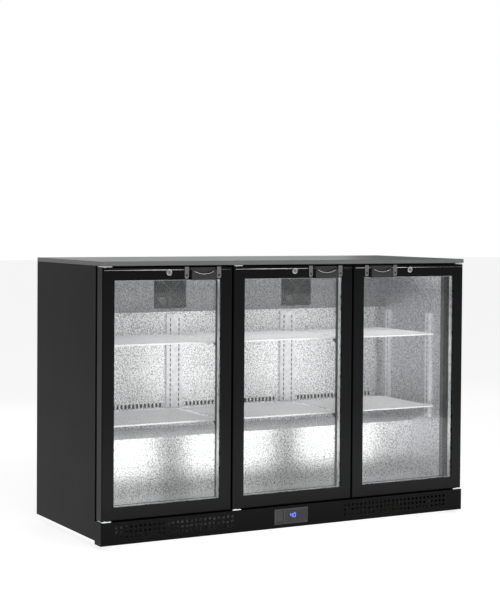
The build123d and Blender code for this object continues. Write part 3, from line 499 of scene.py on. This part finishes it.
def paint(material, *nodes):
    """Gives CAD nodes a finish."""
    for node in nodes:
        obj = frame["nodes"][node]
        obj.data.materials.clear()
        obj.data.materials.append(material)


def middle(node):
    low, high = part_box(node)
    return Vector(((low[0] + high[0]) / 2, (low[1] + high[1]) / 2, (low[2] + high[2]) / 2))


def solids(node):
    """Boxes round the separate solids of a CAD node, as pairs of corners."""
    shape = bmesh.new()
    shape.from_mesh(frame["nodes"][node].data)
    bmesh.ops.remove_doubles(shape, verts=shape.verts, dist=1e-6)
    unseen = set(shape.verts)
    boxes = []
    while unseen:
        queue = [unseen.pop()]
        places = []
        while queue:
            here = queue.pop()
            places.append(here.co.copy())
            for edge in here.link_edges:
                there = edge.other_vert(here)
                if there in unseen:
                    unseen.remove(there)
                    queue.append(there)
        low = [min(place[axis] for place in places) for axis in range(3)]
        high = [max(place[axis] for place in places) for axis in range(3)]
        boxes.append((low, high))
    shape.free()
    return sorted(boxes)


def add_box(shape, low, high):
    size = [far - near for near, far in zip(low, high)]
    centre = [(near + far) / 2 for near, far in zip(low, high)]
    place = Matrix.Translation(centre) @ Matrix.Diagonal((*size, 1.0))
    bmesh.ops.create_cube(shape, size=1.0, matrix=place)


def tube(shape, points, radius, sides=10):
    """A round bar through points that lie in one upright plane facing the front."""
    rings = []
    for index, point in enumerate(points):
        before = Vector(points[max(index - 1, 0)])
        after = Vector(points[min(index + 1, len(points) - 1)])
        along = (after - before).normalized()
        across = along.cross(Vector((0, 1, 0)))
        ring = []
        for side in range(sides):
            angle = math.tau * side / sides
            out = across * math.cos(angle) + Vector((0, 1, 0)) * math.sin(angle)
            ring.append(shape.verts.new(Vector(point) + out * radius))
        rings.append(ring)
    for here, there in zip(rings, rings[1:]):
        for side in range(sides):
            after = (side + 1) % sides
            shape.faces.new((here[side], here[after], there[after], there[side]))
    shape.faces.new(rings[0])
    shape.faces.new(rings[-1])


def frame_front():
    """Front plane of the door frames."""
    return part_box("door1_frame")[0][1]


# ---- settings ------------------------------------------------------------------------------


def colour_prop(name, description, default):
    return bpy.props.FloatVectorProperty(
        name=name, description=description, default=default, subtype="COLOR", size=3, min=0.0, max=1.0
    )


def length_prop(name, description, default):
    return bpy.props.FloatProperty(
        name=name, description=description, default=default, min=0.0, unit="LENGTH", precision=4
    )


class CoolerColours(bpy.types.PropertyGroup):
    """Colours of the cooler's finishes."""

    case: colour_prop("Case", "Powder coat of the side, back and kick sheets", (0.0045, 0.0045, 0.0048))
    # Far lighter than the case: partly the worktop's own grey coat, partly painted sheen standing in for
    # light reflected off its top.
    worktop: colour_prop("Worktop", "Powder coat of the worktop", (0.11, 0.112, 0.115))
    doors: colour_prop("Doors", "Door frames", (0.0022, 0.0022, 0.0024))
    liner: colour_prop("Liner", "Embossed aluminium inside", (0.86, 0.87, 0.88))
    shelves: colour_prop("Shelves", "Coating of the wire shelves", (0.93, 0.93, 0.93))
    fans: colour_prop("Fans", "Fan frames and rotors", (0.012, 0.012, 0.013))
    digits: colour_prop("Digits", "Lit digits of the thermostat", (0.10, 0.16, 1.0))


class CoolerSizes(bpy.types.PropertyGroup):
    """Sizes of the wirework and seals."""

    rod: length_prop("Shelf rod", "Diameter of the rods round and under a shelf", 0.005)
    wire: length_prop("Shelf wire", "Diameter of the wires on top of a shelf", 0.003)
    wire_pitch: length_prop("Wire pitch", "Distance between shelf wires", 0.011)
    guard_wire: length_prop("Guard wire", "Diameter of the fan guard's wires", 0.0022)
    guard_rings: bpy.props.IntProperty(
        name="Guard rings", description="Rings on each fan guard", default=8, min=2, max=16
    )
    seal_corner: length_prop("Seal corner", "Corner radius of the door seals", 0.012)
    segment: length_prop("Digit segment", "Length of one bar of a digit", 0.0068)


class CoolerStudio(bpy.types.PropertyGroup):
    """Camera and lights."""

    lens: bpy.props.FloatProperty(
        name="Lens", description="Focal length", default=91.1, min=10.0, unit="CAMERA"
    )
    yaw: bpy.props.FloatProperty(
        name="Yaw", description="Camera turn to the right", default=math.radians(29.087), subtype="ANGLE"
    )
    pitch: bpy.props.FloatProperty(
        name="Pitch", description="Camera tilt upwards", default=math.radians(-1.565), subtype="ANGLE"
    )
    roll: bpy.props.FloatProperty(
        name="Roll", description="Camera roll", default=math.radians(0.413), subtype="ANGLE"
    )
    place: bpy.props.FloatVectorProperty(
        name="Place",
        description="Camera position",
        default=(-2.5349, -4.5193, 1.0052),
        subtype="TRANSLATION",
    )
    shift: bpy.props.FloatProperty(
        name="Shift", description="Vertical lens shift in frame heights", default=-0.0698
    )
    floor: colour_prop("Floor", "Pale studio floor", (0.6, 0.6, 0.6))


def colours():
    return bpy.context.scene.cooler_colours


def sizes():
    return bpy.context.scene.cooler_sizes


# ---- operators -----------------------------------------------------------------------------


class COOLER_OT_case(bpy.types.Operator):
    """Finish the worktop, side panels, back, base pan and feet"""

    bl_idname = "cooler.case"
    bl_label = "Case"

    def execute(self, context):
        coat = powder_coat("case_powder_coat", colours().case, 0.42, gloss=0.07)
        paint(coat, "side_panel_left", "side_panel_right", "kickplate")
        back_coat = powder_coat("back_powder_coat", (0.02, 0.02, 0.021), 0.45)
        paint(back_coat, "back_panel", "service_grille")
        # Worktop colour: partly its own grey coat, partly painted sheen of the light on its top.
        paint(powder_coat("worktop_powder_coat", colours().worktop, 0.3, 0.00008), "worktop")
        paint(brushed("galvanised_pan", (0.55, 0.56, 0.57), 0.42), "base_pan")
        black = rubber("black_rubber", (0.02, 0.02, 0.021))
        feet = [node for node in frame["nodes"] if node.startswith("foot_")]
        paint(black, "compressor_grommets", "cable_entry", *feet)
        return {"FINISHED"}


class COOLER_OT_doors(bpy.types.Operator):
    """Finish the door frames, glazing, grips and locks"""

    bl_idname = "cooler.doors"
    bl_label = "Doors"

    def execute(self, context):
        rails = anodised("door_rail_black", colours().doors, 0.24, 0.1)
        pane = clear_glass("pane_glass")
        bar = brushed("spacer_bar", (0.82, 0.83, 0.84), 0.3)
        grip = moulded("grip_plastic", (0.012, 0.012, 0.0125), 0.28)
        metal = chromed("bracket_metal", (0.2, 0.2, 0.2), 0.3)
        plug = chromed("lock_chrome", (0.30, 0.30, 0.31), 0.14)
        for door in DOORS:
            paint(rails, f"{door}_frame")
            paint(pane, f"{door}_glass")
            paint(bar, f"{door}_spacer")
            paint(grip, f"{door}_grip")
            paint(metal, f"{door}_fittings")
            paint(plug, f"{door}_lock_plug")
        paint(brushed("hinge_steel", (0.66, 0.67, 0.68), 0.3), "hinge_brackets")
        return {"FINISHED"}


class COOLER_OT_seals(bpy.types.Operator):
    """Make the folded magnetic seals on the backs of the doors"""

    bl_idname = "cooler.seals"
    bl_label = "Door seals"

    def execute(self, context):
        black = rubber("seal_rubber", (0.018, 0.018, 0.019))
        for door in DOORS:
            low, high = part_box(f"{door}_gasket")
            depth = high[1] - low[1]
            centre = middle(f"{door}_gasket")
            centre.y = low[1]
            profile = (
                (0.0015, 0.0), (0.0008, 0.25 * depth), (0.0030, 0.42 * depth), (0.0006, 0.60 * depth),
                (0.0, 0.85 * depth), (0.0010, depth), (0.0105, depth), (0.0118, 0.85 * depth),
                (0.0112, 0.62 * depth), (0.0090, 0.45 * depth), (0.0116, 0.25 * depth), (0.0108, 0.0),
            )
            width, height = high[0] - low[0], high[2] - low[2]
            mesh = swept_frame(f"{door}_seal", profile, centre, width, height, sizes().seal_corner)
            new_piece(f"{door}_seal", mesh, black, door, [f"{door}_gasket"])
        return {"FINISHED"}


class COOLER_OT_cabinet(bpy.types.Operator):
    """Finish the liner, duct, rails, trims and lamp"""

    bl_idname = "cooler.cabinet"
    bl_label = "Cabinet"

    def execute(self, context):
        sheet = stucco("stucco_aluminium", colours().liner, 0.3, 0.0005)
        paint(sheet, "duct_panel")
        # The evaporator cover is the duct's embossed aluminium, coloured much darker: painted shade.
        paint(stucco("cover_aluminium", (0.25, 0.255, 0.26), 0.42, 0.0005), "evaporator_cover")
        paint(stucco("wall_aluminium", (0.66, 0.67, 0.69), 0.42, 0.0002), "inner_liner")
        self.emboss_step(sheet)
        paint(foam("rigid_foam", (0.80, 0.72, 0.50)), "foam_insulation")
        paint(brushed("rail_steel", (0.86, 0.87, 0.88), 0.45), "shelf_rails", "screws")
        trim = moulded("trim_plastic", (0.014, 0.014, 0.015), 0.34)
        paint(trim, "breaker_frame", "mullions", "shelf_clips")
        paint(glowing("lamp_diffuser", (0.9, 0.95, 1.0), 1.5), "lamp")
        return {"FINISHED"}

    def emboss_step(self, sheet):
        """Gives the liner's floor and its step the deeper embossing of the duct panel."""
        liner = frame["nodes"]["inner_liner"].data
        liner.materials.append(sheet)
        for face in liner.polygons:
            if abs(face.normal.x) < WALL_NORMAL and face.center.z < STEP_LIMIT:
                face.material_index = 1


class COOLER_OT_slot_shade_backings(bpy.types.Operator):
    """Fit near-black strips behind the slots of the rails and the duct panel: painted shade that darkens the
    slots
    """

    bl_idname = "cooler.backings"
    bl_label = "Slot backings"

    def execute(self, context):
        inset = RAIL_SHEET + BACKING_GAP
        shape = bmesh.new()
        for low, high in solids("shelf_rails"):
            near, far = list(low), list(high)
            near[2] += BACKING_INSET
            far[2] -= BACKING_INSET
            rear = high[0] - low[0] > REAR_RAIL
            across, through = (0, 1) if rear else (1, 0)
            near[across] += inset
            far[across] -= inset
            if rear or low[0] > 0.0:
                near[through] = low[through] + inset
                far[through] = near[through] + BACKING
            else:
                far[through] = high[through] - inset
                near[through] = far[through] - BACKING
            add_box(shape, near, far)
        low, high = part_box("duct_panel")
        behind = high[1] + BACKING_GAP
        near = (low[0] + DUCT_MARGIN, behind, DUCT_SLOTS - DUCT_STRIP)
        far = (high[0] - DUCT_MARGIN, behind + BACKING, DUCT_SLOTS + DUCT_STRIP)
        add_box(shape, near, far)
        # Near-black strips standing in for the shade inside the slots: painted shade.
        strips = rubber("sealing_strip", (0.006, 0.006, 0.0065))
        new_piece("slot_backings", from_bmesh("slot_backings", shape), strips, "root", smooth=False)
        return {"FINISHED"}


def shelf_tree():
    """Geometry nodes for one wire shelf: a rounded rim, cross rods and fine wires on top."""
    tree = GeometryTree(
        "wire_shelf",
        {
            "Centre": "Vector", "Width": "Float", "Depth": "Float", "Rod": "Float",
            "Wire": "Float", "Count": "Int", "Pitch": "Float",
        },
    )
    width, depth, rod, wire = (tree.get(label) for label in ("Width", "Depth", "Rod", "Wire"))
    pitch, count = tree.get("Pitch"), tree.get("Count")
    rim = tree.node(
        "GeometryNodeCurvePrimitiveQuadrilateral", None, {0: width - rod, 1: depth - rod}
    ).outputs[0]
    rim = tree.node(
        "GeometryNodeFilletCurve", {"mode": "POLY"}, {"Curve": rim, "Radius": rod * 1.6, "Count": 5}
    ).outputs[0]
    parts = [tree.tube(rim, rod, 12)]
    half = (width - rod) * 0.5
    for share in (-0.25, 0.25):
        line = tree.node(
            "GeometryNodeCurvePrimitiveLine",
            None,
            {0: tree.vector(half * -1.0, depth * share), 1: tree.vector(half, depth * share)},
        ).outputs[0]
        parts.append(tree.tube(line, rod, 10))
    line = tree.node(
        "GeometryNodeCurvePrimitiveLine",
        None,
        {0: tree.vector(0.0, (depth - rod) * -0.5), 1: tree.vector(0.0, (depth - rod) * 0.5)},
    ).outputs[0]
    points = tree.node(
        "GeometryNodeMeshLine",
        {"mode": "OFFSET"},
        {
            "Count": count,
            "Start Location": tree.vector(pitch * (count - 1.0) * -0.5, 0.0, (rod + wire) * 0.45),
            "Offset": tree.vector(pitch),
        },
    ).outputs[0]
    wires = tree.node(
        "GeometryNodeInstanceOnPoints", None, {"Points": points, "Instance": tree.tube(line, wire, 8)}
    ).outputs[0]
    whole = tree.join(*parts, wires)
    moved = tree.node(
        "GeometryNodeTransform", None, {"Geometry": whole, "Translation": tree.inputs["Centre"]}
    ).outputs[0]
    tree.close(moved)
    return tree


class COOLER_OT_shelves(bpy.types.Operator):
    """Make the coated wire shelves, three on each level"""

    bl_idname = "cooler.shelves"
    bl_label = "Shelves"

    def execute(self, context):
        coating = coated_wire("shelf_coating", colours().shelves)
        tree = shelf_tree()
        rod, wire, pitch = sizes().rod, sizes().wire, sizes().wire_pitch
        mullion_low, mullion_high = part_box("mullions")
        left_seam, right_seam = mullion_low[0] + HALF_MULLION, mullion_high[0] - HALF_MULLION
        for level in ("lower", "upper"):
            low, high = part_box(f"shelves_{level}")
            spans = (
                (low[0], left_seam - SHELF_GAP),
                (left_seam + SHELF_GAP, right_seam - SHELF_GAP),
                (right_seam + SHELF_GAP, high[0]),
            )
            runs = []
            for left, right in spans:
                width = right - left
                count = int((width - 2 * rod) / pitch)
                centre = ((left + right) / 2, (low[1] + high[1]) / 2, low[2] + rod / 2)
                runs.append(
                    {
                        "Centre": centre, "Width": width, "Depth": high[1] - low[1], "Rod": rod,
                        "Wire": wire, "Count": count, "Pitch": pitch,
                    }
                )
            mesh = tree.bake(f"wire_shelves_{level}", runs, coating)
            new_piece(f"wire_shelves_{level}", mesh, coating, "root", [f"shelves_{level}"])
        return {"FINISHED"}


def guard_tree():
    """Geometry nodes for a fan guard: concentric rings on radial arms, with screw eyes."""
    tree = GeometryTree(
        "fan_guard", {"Centre": "Vector", "Radius": "Float", "Rings": "Int", "Wire": "Float", "Eye": "Float"}
    )
    radius, rings, wire, eye = (tree.get(label) for label in ("Radius", "Rings", "Wire", "Eye"))
    ring = tree.node("GeometryNodeCurvePrimitiveCircle", None, {"Resolution": 64, "Radius": 1.0}).outputs[0]
    points = tree.node("GeometryNodeMeshLine", None, {"Count": rings, "Offset": (0.0, 0.0, 0.0)}).outputs[0]
    index = Value(tree, tree.node("GeometryNodeInputIndex").outputs[0])
    step = tree.node("ShaderNodeMath", {"operation": "DIVIDE"}, {0: index + 1.0, 1: rings}).outputs[0]
    size = Value(tree, step) * radius
    rings_placed = tree.node(
        "GeometryNodeInstanceOnPoints",
        None,
        {"Points": points, "Instance": ring, "Scale": tree.vector(size, size, size)},
    ).outputs[0]
    circles = tree.node("GeometryNodeRealizeInstances", None, {0: rings_placed}).outputs[0]
    parts = [tree.tube(circles, wire, 6)]
    for angle in (45.0, 135.0, 225.0, 315.0):
        out = Vector((math.cos(math.radians(angle)), math.sin(math.radians(angle)), 0.0))
        near = tree.vector(0.0, 0.0, wire * 0.9)
        far = tree.vector(eye * out.x * 0.93, eye * out.y * 0.93, wire * 0.9)
        arm = tree.node("GeometryNodeCurvePrimitiveLine", None, {0: near, 1: far}).outputs[0]
        parts.append(tree.tube(arm, wire * 1.4, 8))
        loop = tree.node(
            "GeometryNodeCurvePrimitiveCircle", None, {"Resolution": 20, "Radius": wire * 2.4}
        ).outputs[0]
        placed = tree.node(
            "GeometryNodeTransform",
            None,
            {"Geometry": loop, "Translation": tree.vector(eye * out.x, eye * out.y, wire * 0.9)},
        ).outputs[0]
        parts.append(tree.tube(placed, wire * 1.2, 8))
    turned = tree.node(
        "GeometryNodeTransform",
        None,
        {
            "Geometry": tree.join(*parts),
            "Translation": tree.inputs["Centre"],
            "Rotation": (math.radians(90.0), 0.0, 0.0),
        },
    ).outputs[0]
    tree.close(turned)
    return tree


class COOLER_OT_fans(bpy.types.Operator):
    """Make the wire fan guards and finish the fans"""

    bl_idname = "cooler.fans"
    bl_label = "Fans"

    def execute(self, context):
        plastic = moulded("fan_plastic", colours().fans, 0.5, Specular_IOR_Level=0.2)
        rotors = [node for node in frame["nodes"] if "rotor" in node]
        paint(plastic, "fan_frames", *rotors)
        wire_paint = powder_coat("guard_coating", (0.09, 0.09, 0.092), 0.4)
        low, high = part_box("fan_guards")
        runs = []
        for rotor in ("evaporator_rotor_left", "evaporator_rotor_right"):
            centre = middle(rotor)
            radius = (high[2] - low[2]) / 2
            runs.append(
                {
                    "Centre": (centre.x, high[1] - sizes().guard_wire / 2, (low[2] + high[2]) / 2),
                    "Radius": radius - 0.001, "Rings": sizes().guard_rings, "Wire": sizes().guard_wire,
                    "Eye": radius * 1.27,
                }
            )
        mesh = guard_tree().bake("wire_guards", runs, wire_paint)
        new_piece("wire_guards", mesh, wire_paint, "root", ["fan_guards"])
        return {"FINISHED"}


class COOLER_OT_machinery(bpy.types.Operator):
    """Finish the compressor, coils, pipes and drip tray"""

    bl_idname = "cooler.machinery"
    bl_label = "Machinery"

    def execute(self, context):
        paint(powder_coat("compressor_black", (0.012, 0.012, 0.013), 0.22, 0.00015), "compressor")
        paint(brushed("coil_fins", (0.72, 0.73, 0.75), 0.35), "condenser_coil")
        # The evaporator coil's fins are near-black, partly as their own dark coat and partly as painted
        # shade seen through the fan openings.
        paint(powder_coat("coil_lacquer", (0.02, 0.02, 0.021), 0.5), "evaporator_coil")
        paint(copper("drawn_copper", (0.74, 0.38, 0.24)), "refrigerant_pipes")
        paint(moulded("tray_plastic", (0.05, 0.05, 0.055), 0.45), "drip_tray")
        return {"FINISHED"}


SEGMENTS = {
    "top": (0, 2, True), "middle": (0, 1, True), "bottom": (0, 0, True),
    "upper_left": (0, 1, False), "lower_left": (0, 0, False),
    "upper_right": (1, 1, False), "lower_right": (1, 0, False),
}
LIT = {
    "4": ("upper_left", "middle", "upper_right", "lower_right"),
    "0": ("top", "bottom", "upper_left", "lower_left", "upper_right", "lower_right"),
}


class COOLER_OT_controls(bpy.types.Operator):
    """Finish the control panel and light its digits"""

    bl_idname = "cooler.controls"
    bl_label = "Controls"

    def execute(self, context):
        paint(moulded("bezel_plastic", (0.03, 0.03, 0.032), 0.32), "control_panel")
        paint(moulded("window_plastic", (0.012, 0.012, 0.018), 0.12, 0.00001), "controller")
        paint(moulded("rocker_plastic", (0.022, 0.022, 0.024), 0.24), "lamp_switch")
        blue = glowing("digit_blue", colours().digits, 3.0)
        low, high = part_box("controller")
        length = sizes().segment
        thick = length * 0.2
        shape = bmesh.new()
        start = low[0] + DIGIT_INSET
        base = (low[2] + high[2]) / 2 - length * 0.75
        for place, digit in enumerate("40"):
            for label in LIT[digit]:
                column, row, flat = SEGMENTS[label]
                x = start + place * length * 1.75 + column * length
                z = base + row * length
                along, across = Vector((1, 0, 0)), Vector((0, 0, 1))
                if not flat:
                    along, across = across, along
                centre = Vector((x, low[1] + DIGIT_SUNK, z)) + along * (length / 2)
                self.bar(shape, centre, along, across, length, thick)
        mesh = from_bmesh("thermostat_digits", shape)
        new_piece("thermostat_digits", mesh, blue, "root", smooth=False)
        return {"FINISHED"}

    def bar(self, shape, centre, along, across, length, thick):
        """A six-sided lit bar with pointed ends."""
        reach = length / 2 - thick * 0.35
        outline = (
            (-reach, 0.0), (-reach + thick / 2, thick / 2), (reach - thick / 2, thick / 2),
            (reach, 0.0), (reach - thick / 2, -thick / 2), (-reach + thick / 2, -thick / 2),
        )
        rings = []
        for depth in (0.0, -DIGIT_RELIEF):
            face = centre + Vector((0, depth, 0))
            rings.append([shape.verts.new(face + along * a + across * b) for a, b in outline])
        shape.faces.new(rings[0])
        shape.faces.new(reversed(rings[1]))
        for index in range(6):
            after = (index + 1) % 6
            shape.faces.new((rings[0][index], rings[0][after], rings[1][after], rings[1][index]))


class COOLER_OT_highlights(bpy.types.Operator):
    """Make the fine bright beads, painted highlights along the door rails and the lips of the finger scoops,
    the chrome rings of the locks, and the near-black key slots, painted shade
    """

    bl_idname = "cooler.beads"
    bl_label = "Door highlight_beads"

    def execute(self, context):
        # The lock rings are polished chrome; the rail and scoop-lip beads in the same bright metal are
        # painted highlights.
        sheen = chromed("bead_sheen", (0.62, 0.62, 0.63), 0.22)
        # Near-black key slots stand in for the shade inside the keyways: painted shade.
        black = rubber("key_slot", (0.004, 0.004, 0.0045))
        for door in DOORS:
            shape = bmesh.new()
            self.rail_highlight(shape, door)
            self.scoop_lip_highlight(shape, door)
            self.lock_ring(shape, door)
            new_piece(f"{door}_beads", from_bmesh(f"{door}_beads", shape), sheen, door)
            shape = bmesh.new()
            self.key_slot(shape, door)
            mesh = from_bmesh(f"{door}_key_slot", shape)
            new_piece(f"{door}_key_slot", mesh, black, f"{door}_lock", smooth=False)
        return {"FINISHED"}

    # Painted highlight: a bright bead along the front of the door's top rail.
    def rail_highlight(self, shape, door):
        low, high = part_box(f"{door}_frame")
        y, z = frame_front() + RAIL_HIGHLIGHT_PROUD, high[2] - RAIL_HIGHLIGHT_DROP
        tube(shape, [(low[0] + RAIL_HIGHLIGHT_INSET, y, z), (high[0] - RAIL_HIGHLIGHT_INSET, y, z)], RAIL_HIGHLIGHT_RADIUS)

    # Painted highlight: a bright bead following the lip of the finger scoop.
    def scoop_lip_highlight(self, shape, door):
        low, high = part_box(f"{door}_grip")
        tall = SCOOP_RADIUS / math.cos(SCOOP_TILT)
        points = []
        for step in range(17):
            angle = math.radians(SCOOP_SPREAD * (step / 8 - 1))
            x = (low[0] + high[0]) / 2 + SCOOP_RADIUS * math.sin(angle)
            z = high[2] - SCOOP_LOW + tall * (1.0 - math.cos(angle))
            points.append((x, low[1] + LIP_HIGHLIGHT_SETBACK, z))
        tube(shape, points, LIP_HIGHLIGHT_RADIUS, 8)

    def lock_centre(self, door):
        """Middle of the lock's face: the plug is round at the front, with its cam behind."""
        low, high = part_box(f"{door}_lock_plug")
        x = low[0] + PLUG_RADIUS if door == RIGHT_HINGED else high[0] - PLUG_RADIUS
        return Vector((x, low[1], (low[2] + high[2]) / 2))

    # A near-black box in the plug's face, for the keyway's shade: painted shade.
    def key_slot(self, shape, door):
        centre = self.lock_centre(door)
        (half_width, half_height), (front, back) = KEY_SLOT, KEY_SLOT_DEPTH
        near = centre + Vector((-half_width, front, -half_height))
        far = centre + Vector((half_width, back, half_height))
        add_box(shape, near, far)

    def lock_ring(self, shape, door):
        centre = self.lock_centre(door)
        rings = []
        for turn in range(32):
            angle = math.tau * turn / 32
            out = Vector((math.cos(angle), 0.0, math.sin(angle)))
            ring = []
            for side in range(8):
                tilt = math.tau * side / 8
                point = centre + out * (LOCK_RING + LOCK_RING_WIRE * math.cos(tilt))
                point.y += LOCK_RING_WIRE * math.sin(tilt)
                ring.append(shape.verts.new(point))
            rings.append(ring)
        for here, there in zip(rings, rings[1:] + rings[:1]):
            for side in range(8):
                after = (side + 1) % 8
                shape.faces.new((here[side], here[after], there[after], there[side]))


def cross_recess(arm, half_width):
    """Radius of a plus-shaped socket at an angle."""

    def radius(angle):
        c, s = abs(math.cos(angle)), abs(math.sin(angle))
        if min(c, s) * arm / max(c, s) <= half_width:
            return arm / max(c, s)
        return half_width / min(c, s)

    return radius


class COOLER_OT_fixings(bpy.types.Operator):
    """Make the cross-head screws in the grip brackets"""

    bl_idname = "cooler.fixings"
    bl_label = "Fixings"

    def execute(self, context):
        dark = moulded("dark_screw", (0.01, 0.01, 0.0105), 0.3)
        head = (
            (0.0036, 0.0), (0.0036, 0.0007), (0.0031, 0.0013), (0.0023, 0.0016),
            (0.0017, 0.0016), (0.0017, 0.0006),
        )
        for door in DOORS:
            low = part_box(f"{door}_fittings")[0]
            grip_low, grip_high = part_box(f"{door}_grip")
            shape = bmesh.new()
            for x in (grip_low[0] - SCREW_OFFSET, grip_high[0] + SCREW_OFFSET):
                place = Vector((x, low[1], low[2] + SCREW_RISE))
                lathe(shape, head, place, (0, -1, 0), 32, cross_recess(0.0018, 0.0005))
            mesh = from_bmesh(f"{door}_bracket_screws", shape)
            new_piece(f"{door}_bracket_screws", mesh, dark, door, smooth=False)
        return {"FINISHED"}


class COOLER_OT_stage(bpy.types.Operator):
    """Make the floor, lights, world and camera"""

    bl_idname = "cooler.stage"
    bl_label = "Stage"

    def execute(self, context):
        scene = context.scene
        scene.view_settings.view_transform = "Standard"
        scene.cycles.transparent_max_bounces = 32
        self.make_floor(scene)
        self.make_world(scene)
        self.make_lights(scene)
        self.make_camera(scene)
        return {"FINISHED"}

    def make_floor(self, scene):
        shape = bmesh.new()
        bmesh.ops.create_grid(shape, x_segments=1, y_segments=1, size=30.0)
        obj = bpy.data.objects.new("studio_floor", from_bmesh("studio_floor", shape))
        scene.collection.objects.link(obj)
        finish = Finish("studio_floor", scene.cooler_studio.floor, 0.0, Roughness=0.7)
        finish.shader.inputs["Emission Color"].default_value = (1.0, 1.0, 1.0, 1.0)
        finish.shader.inputs["Emission Strength"].default_value = FLOOR_GLOW
        obj.data.materials.append(finish.material)

    def make_world(self, scene):
        world = bpy.data.worlds.new("studio")
        scene.world = world
        world.use_nodes = True
        tree = Tree(world.node_tree)
        world.node_tree.nodes.clear()
        direction = tree.node("ShaderNodeTexCoord").outputs["Generated"]
        split = tree.node("ShaderNodeSeparateXYZ", None, {0: direction})
        stops = [(0.0, (0.2, 0.2, 0.2, 1.0)), (0.5, (0.1, 0.1, 0.1, 1.0)), (1.0, (0.3, 0.3, 0.3, 1.0))]
        depth = (Value(tree, split.outputs["Y"]) + 1.0) * 0.5
        sides = tree.node("ShaderNodeValToRGB", {"stops": stops}, {0: depth}).outputs[0]
        lit = tree.node("ShaderNodeBackground", None, {"Color": sides, "Strength": 1.0}).outputs[0]
        seen = tree.node("ShaderNodeBackground", None, {"Color": (1.0, 1.0, 1.0, 1.0)}).outputs[0]
        ray = tree.node("ShaderNodeLightPath").outputs["Is Camera Ray"]
        mixed = tree.node("ShaderNodeMixShader", None, {0: ray, 1: lit, 2: seen}).outputs[0]
        tree.node("ShaderNodeOutputWorld", None, {"Surface": mixed})

    def make_lights(self, scene):
        # A light that faces straight up or down aims a hair to the side, so that its turn is defined.
        for name, place, target, size, power in (
            ("edge_strip", (0.2, -2.6, 2.6), (0.0, -0.2, 0.6), (4.5, 0.2), 20.0),
            ("low_softbox", (2.1, -3.6, 0.28), (0.1, 0.0, 0.35), (4.0, 0.6), 3.5),
            ("floor_board", (0.4, -1.5, 0.01), (0.4, -1.4999, 1.0), (3.4, 1.8), 27.0),
            ("fill_softbox", (-0.3, -3.2, 3.0), (0.0, 0.0, 0.5), (3.5, 1.0), 45.0),
            ("back_softbox", (0.0, 3.2, 1.6), (0.0, 0.0, 0.9), (5.0, 1.6), 14.0),
            ("left_softbox", (-3.2, 1.2, 2.2), (-0.7, 0.0, 0.8), (2.0, 1.6), 0.5),
            ("cabinet_light", (0.0, -0.05, 0.822), (0.0, -0.0499, 0.1), (1.2, 0.15), 1.0),
        ):
            lamp = bpy.data.lights.new(name, "AREA")
            lamp.shape = "RECTANGLE"
            lamp.size, lamp.size_y = size
            lamp.energy = power
            obj = bpy.data.objects.new(name, lamp)
            obj.visible_camera = False
            scene.collection.objects.link(obj)
            aim = (Vector(target) - Vector(place)).to_track_quat("-Z", "Y")
            obj.matrix_world = Matrix.Translation(place) @ aim.to_matrix().to_4x4()

    def make_camera(self, scene):
        studio = scene.cooler_studio
        camera = bpy.data.cameras.new("camera")
        camera.lens = studio.lens
        camera.sensor_width = 36.0
        camera.shift_y = studio.shift
        camera.clip_end = 100.0
        yaw, pitch, roll = studio.yaw, studio.pitch, studio.roll
        ahead = Vector(
            (math.sin(yaw) * math.cos(pitch), math.cos(yaw) * math.cos(pitch), math.sin(pitch))
        )
        right = Vector((math.cos(yaw), -math.sin(yaw), 0.0))
        up = right.cross(ahead)
        rolled_right = right * math.cos(roll) + up * math.sin(roll)
        rolled_up = up * math.cos(roll) - right * math.sin(roll)
        turn = Matrix((rolled_right, rolled_up, -ahead)).transposed()
        obj = bpy.data.objects.new("camera", camera)
        scene.collection.objects.link(obj)
        obj.matrix_world = Matrix.Translation(Vector(studio.place)) @ turn.to_4x4()
        scene.camera = obj


class COOLER_PT_panel(bpy.types.Panel):
    """Everything the cooler is made of"""

    bl_label = "Bottle cooler"
    bl_idname = "COOLER_PT_panel"
    bl_space_type = "VIEW_3D"
    bl_region_type = "UI"
    bl_category = "Cooler"

    def draw(self, context):
        for group in ("cooler_colours", "cooler_sizes", "cooler_studio"):
            settings = getattr(context.scene, group)
            box = self.layout.box()
            for key in settings.__annotations__:
                box.prop(settings, key)
        for operator in OPERATORS:
            self.layout.operator(operator.bl_idname)


SETTINGS = {
    "cooler_colours": CoolerColours,
    "cooler_sizes": CoolerSizes,
    "cooler_studio": CoolerStudio,
}
OPERATORS = (
    COOLER_OT_stage,
    COOLER_OT_case,
    COOLER_OT_doors,
    COOLER_OT_seals,
    COOLER_OT_cabinet,
    COOLER_OT_slot_shade_backings,
    COOLER_OT_shelves,
    COOLER_OT_fans,
    COOLER_OT_machinery,
    COOLER_OT_controls,
    COOLER_OT_fixings,
    COOLER_OT_highlights,
)


def register():
    for name, group in SETTINGS.items():
        bpy.utils.register_class(group)
        setattr(bpy.types.Scene, name, bpy.props.PointerProperty(type=group))
    for operator in OPERATORS:
        bpy.utils.register_class(operator)
    bpy.utils.register_class(COOLER_PT_panel)


def unregister():
    bpy.utils.unregister_class(COOLER_PT_panel)
    for operator in reversed(OPERATORS):
        bpy.utils.unregister_class(operator)
    for name, group in SETTINGS.items():
        delattr(bpy.types.Scene, name)
        bpy.utils.unregister_class(group)


def main():
    """Makes the whole cooler."""
    register()
    for operator in OPERATORS:
        family, action = operator.bl_idname.split(".")
        getattr(getattr(bpy.ops, family), action)()


if __name__ == "__main__":
    main()
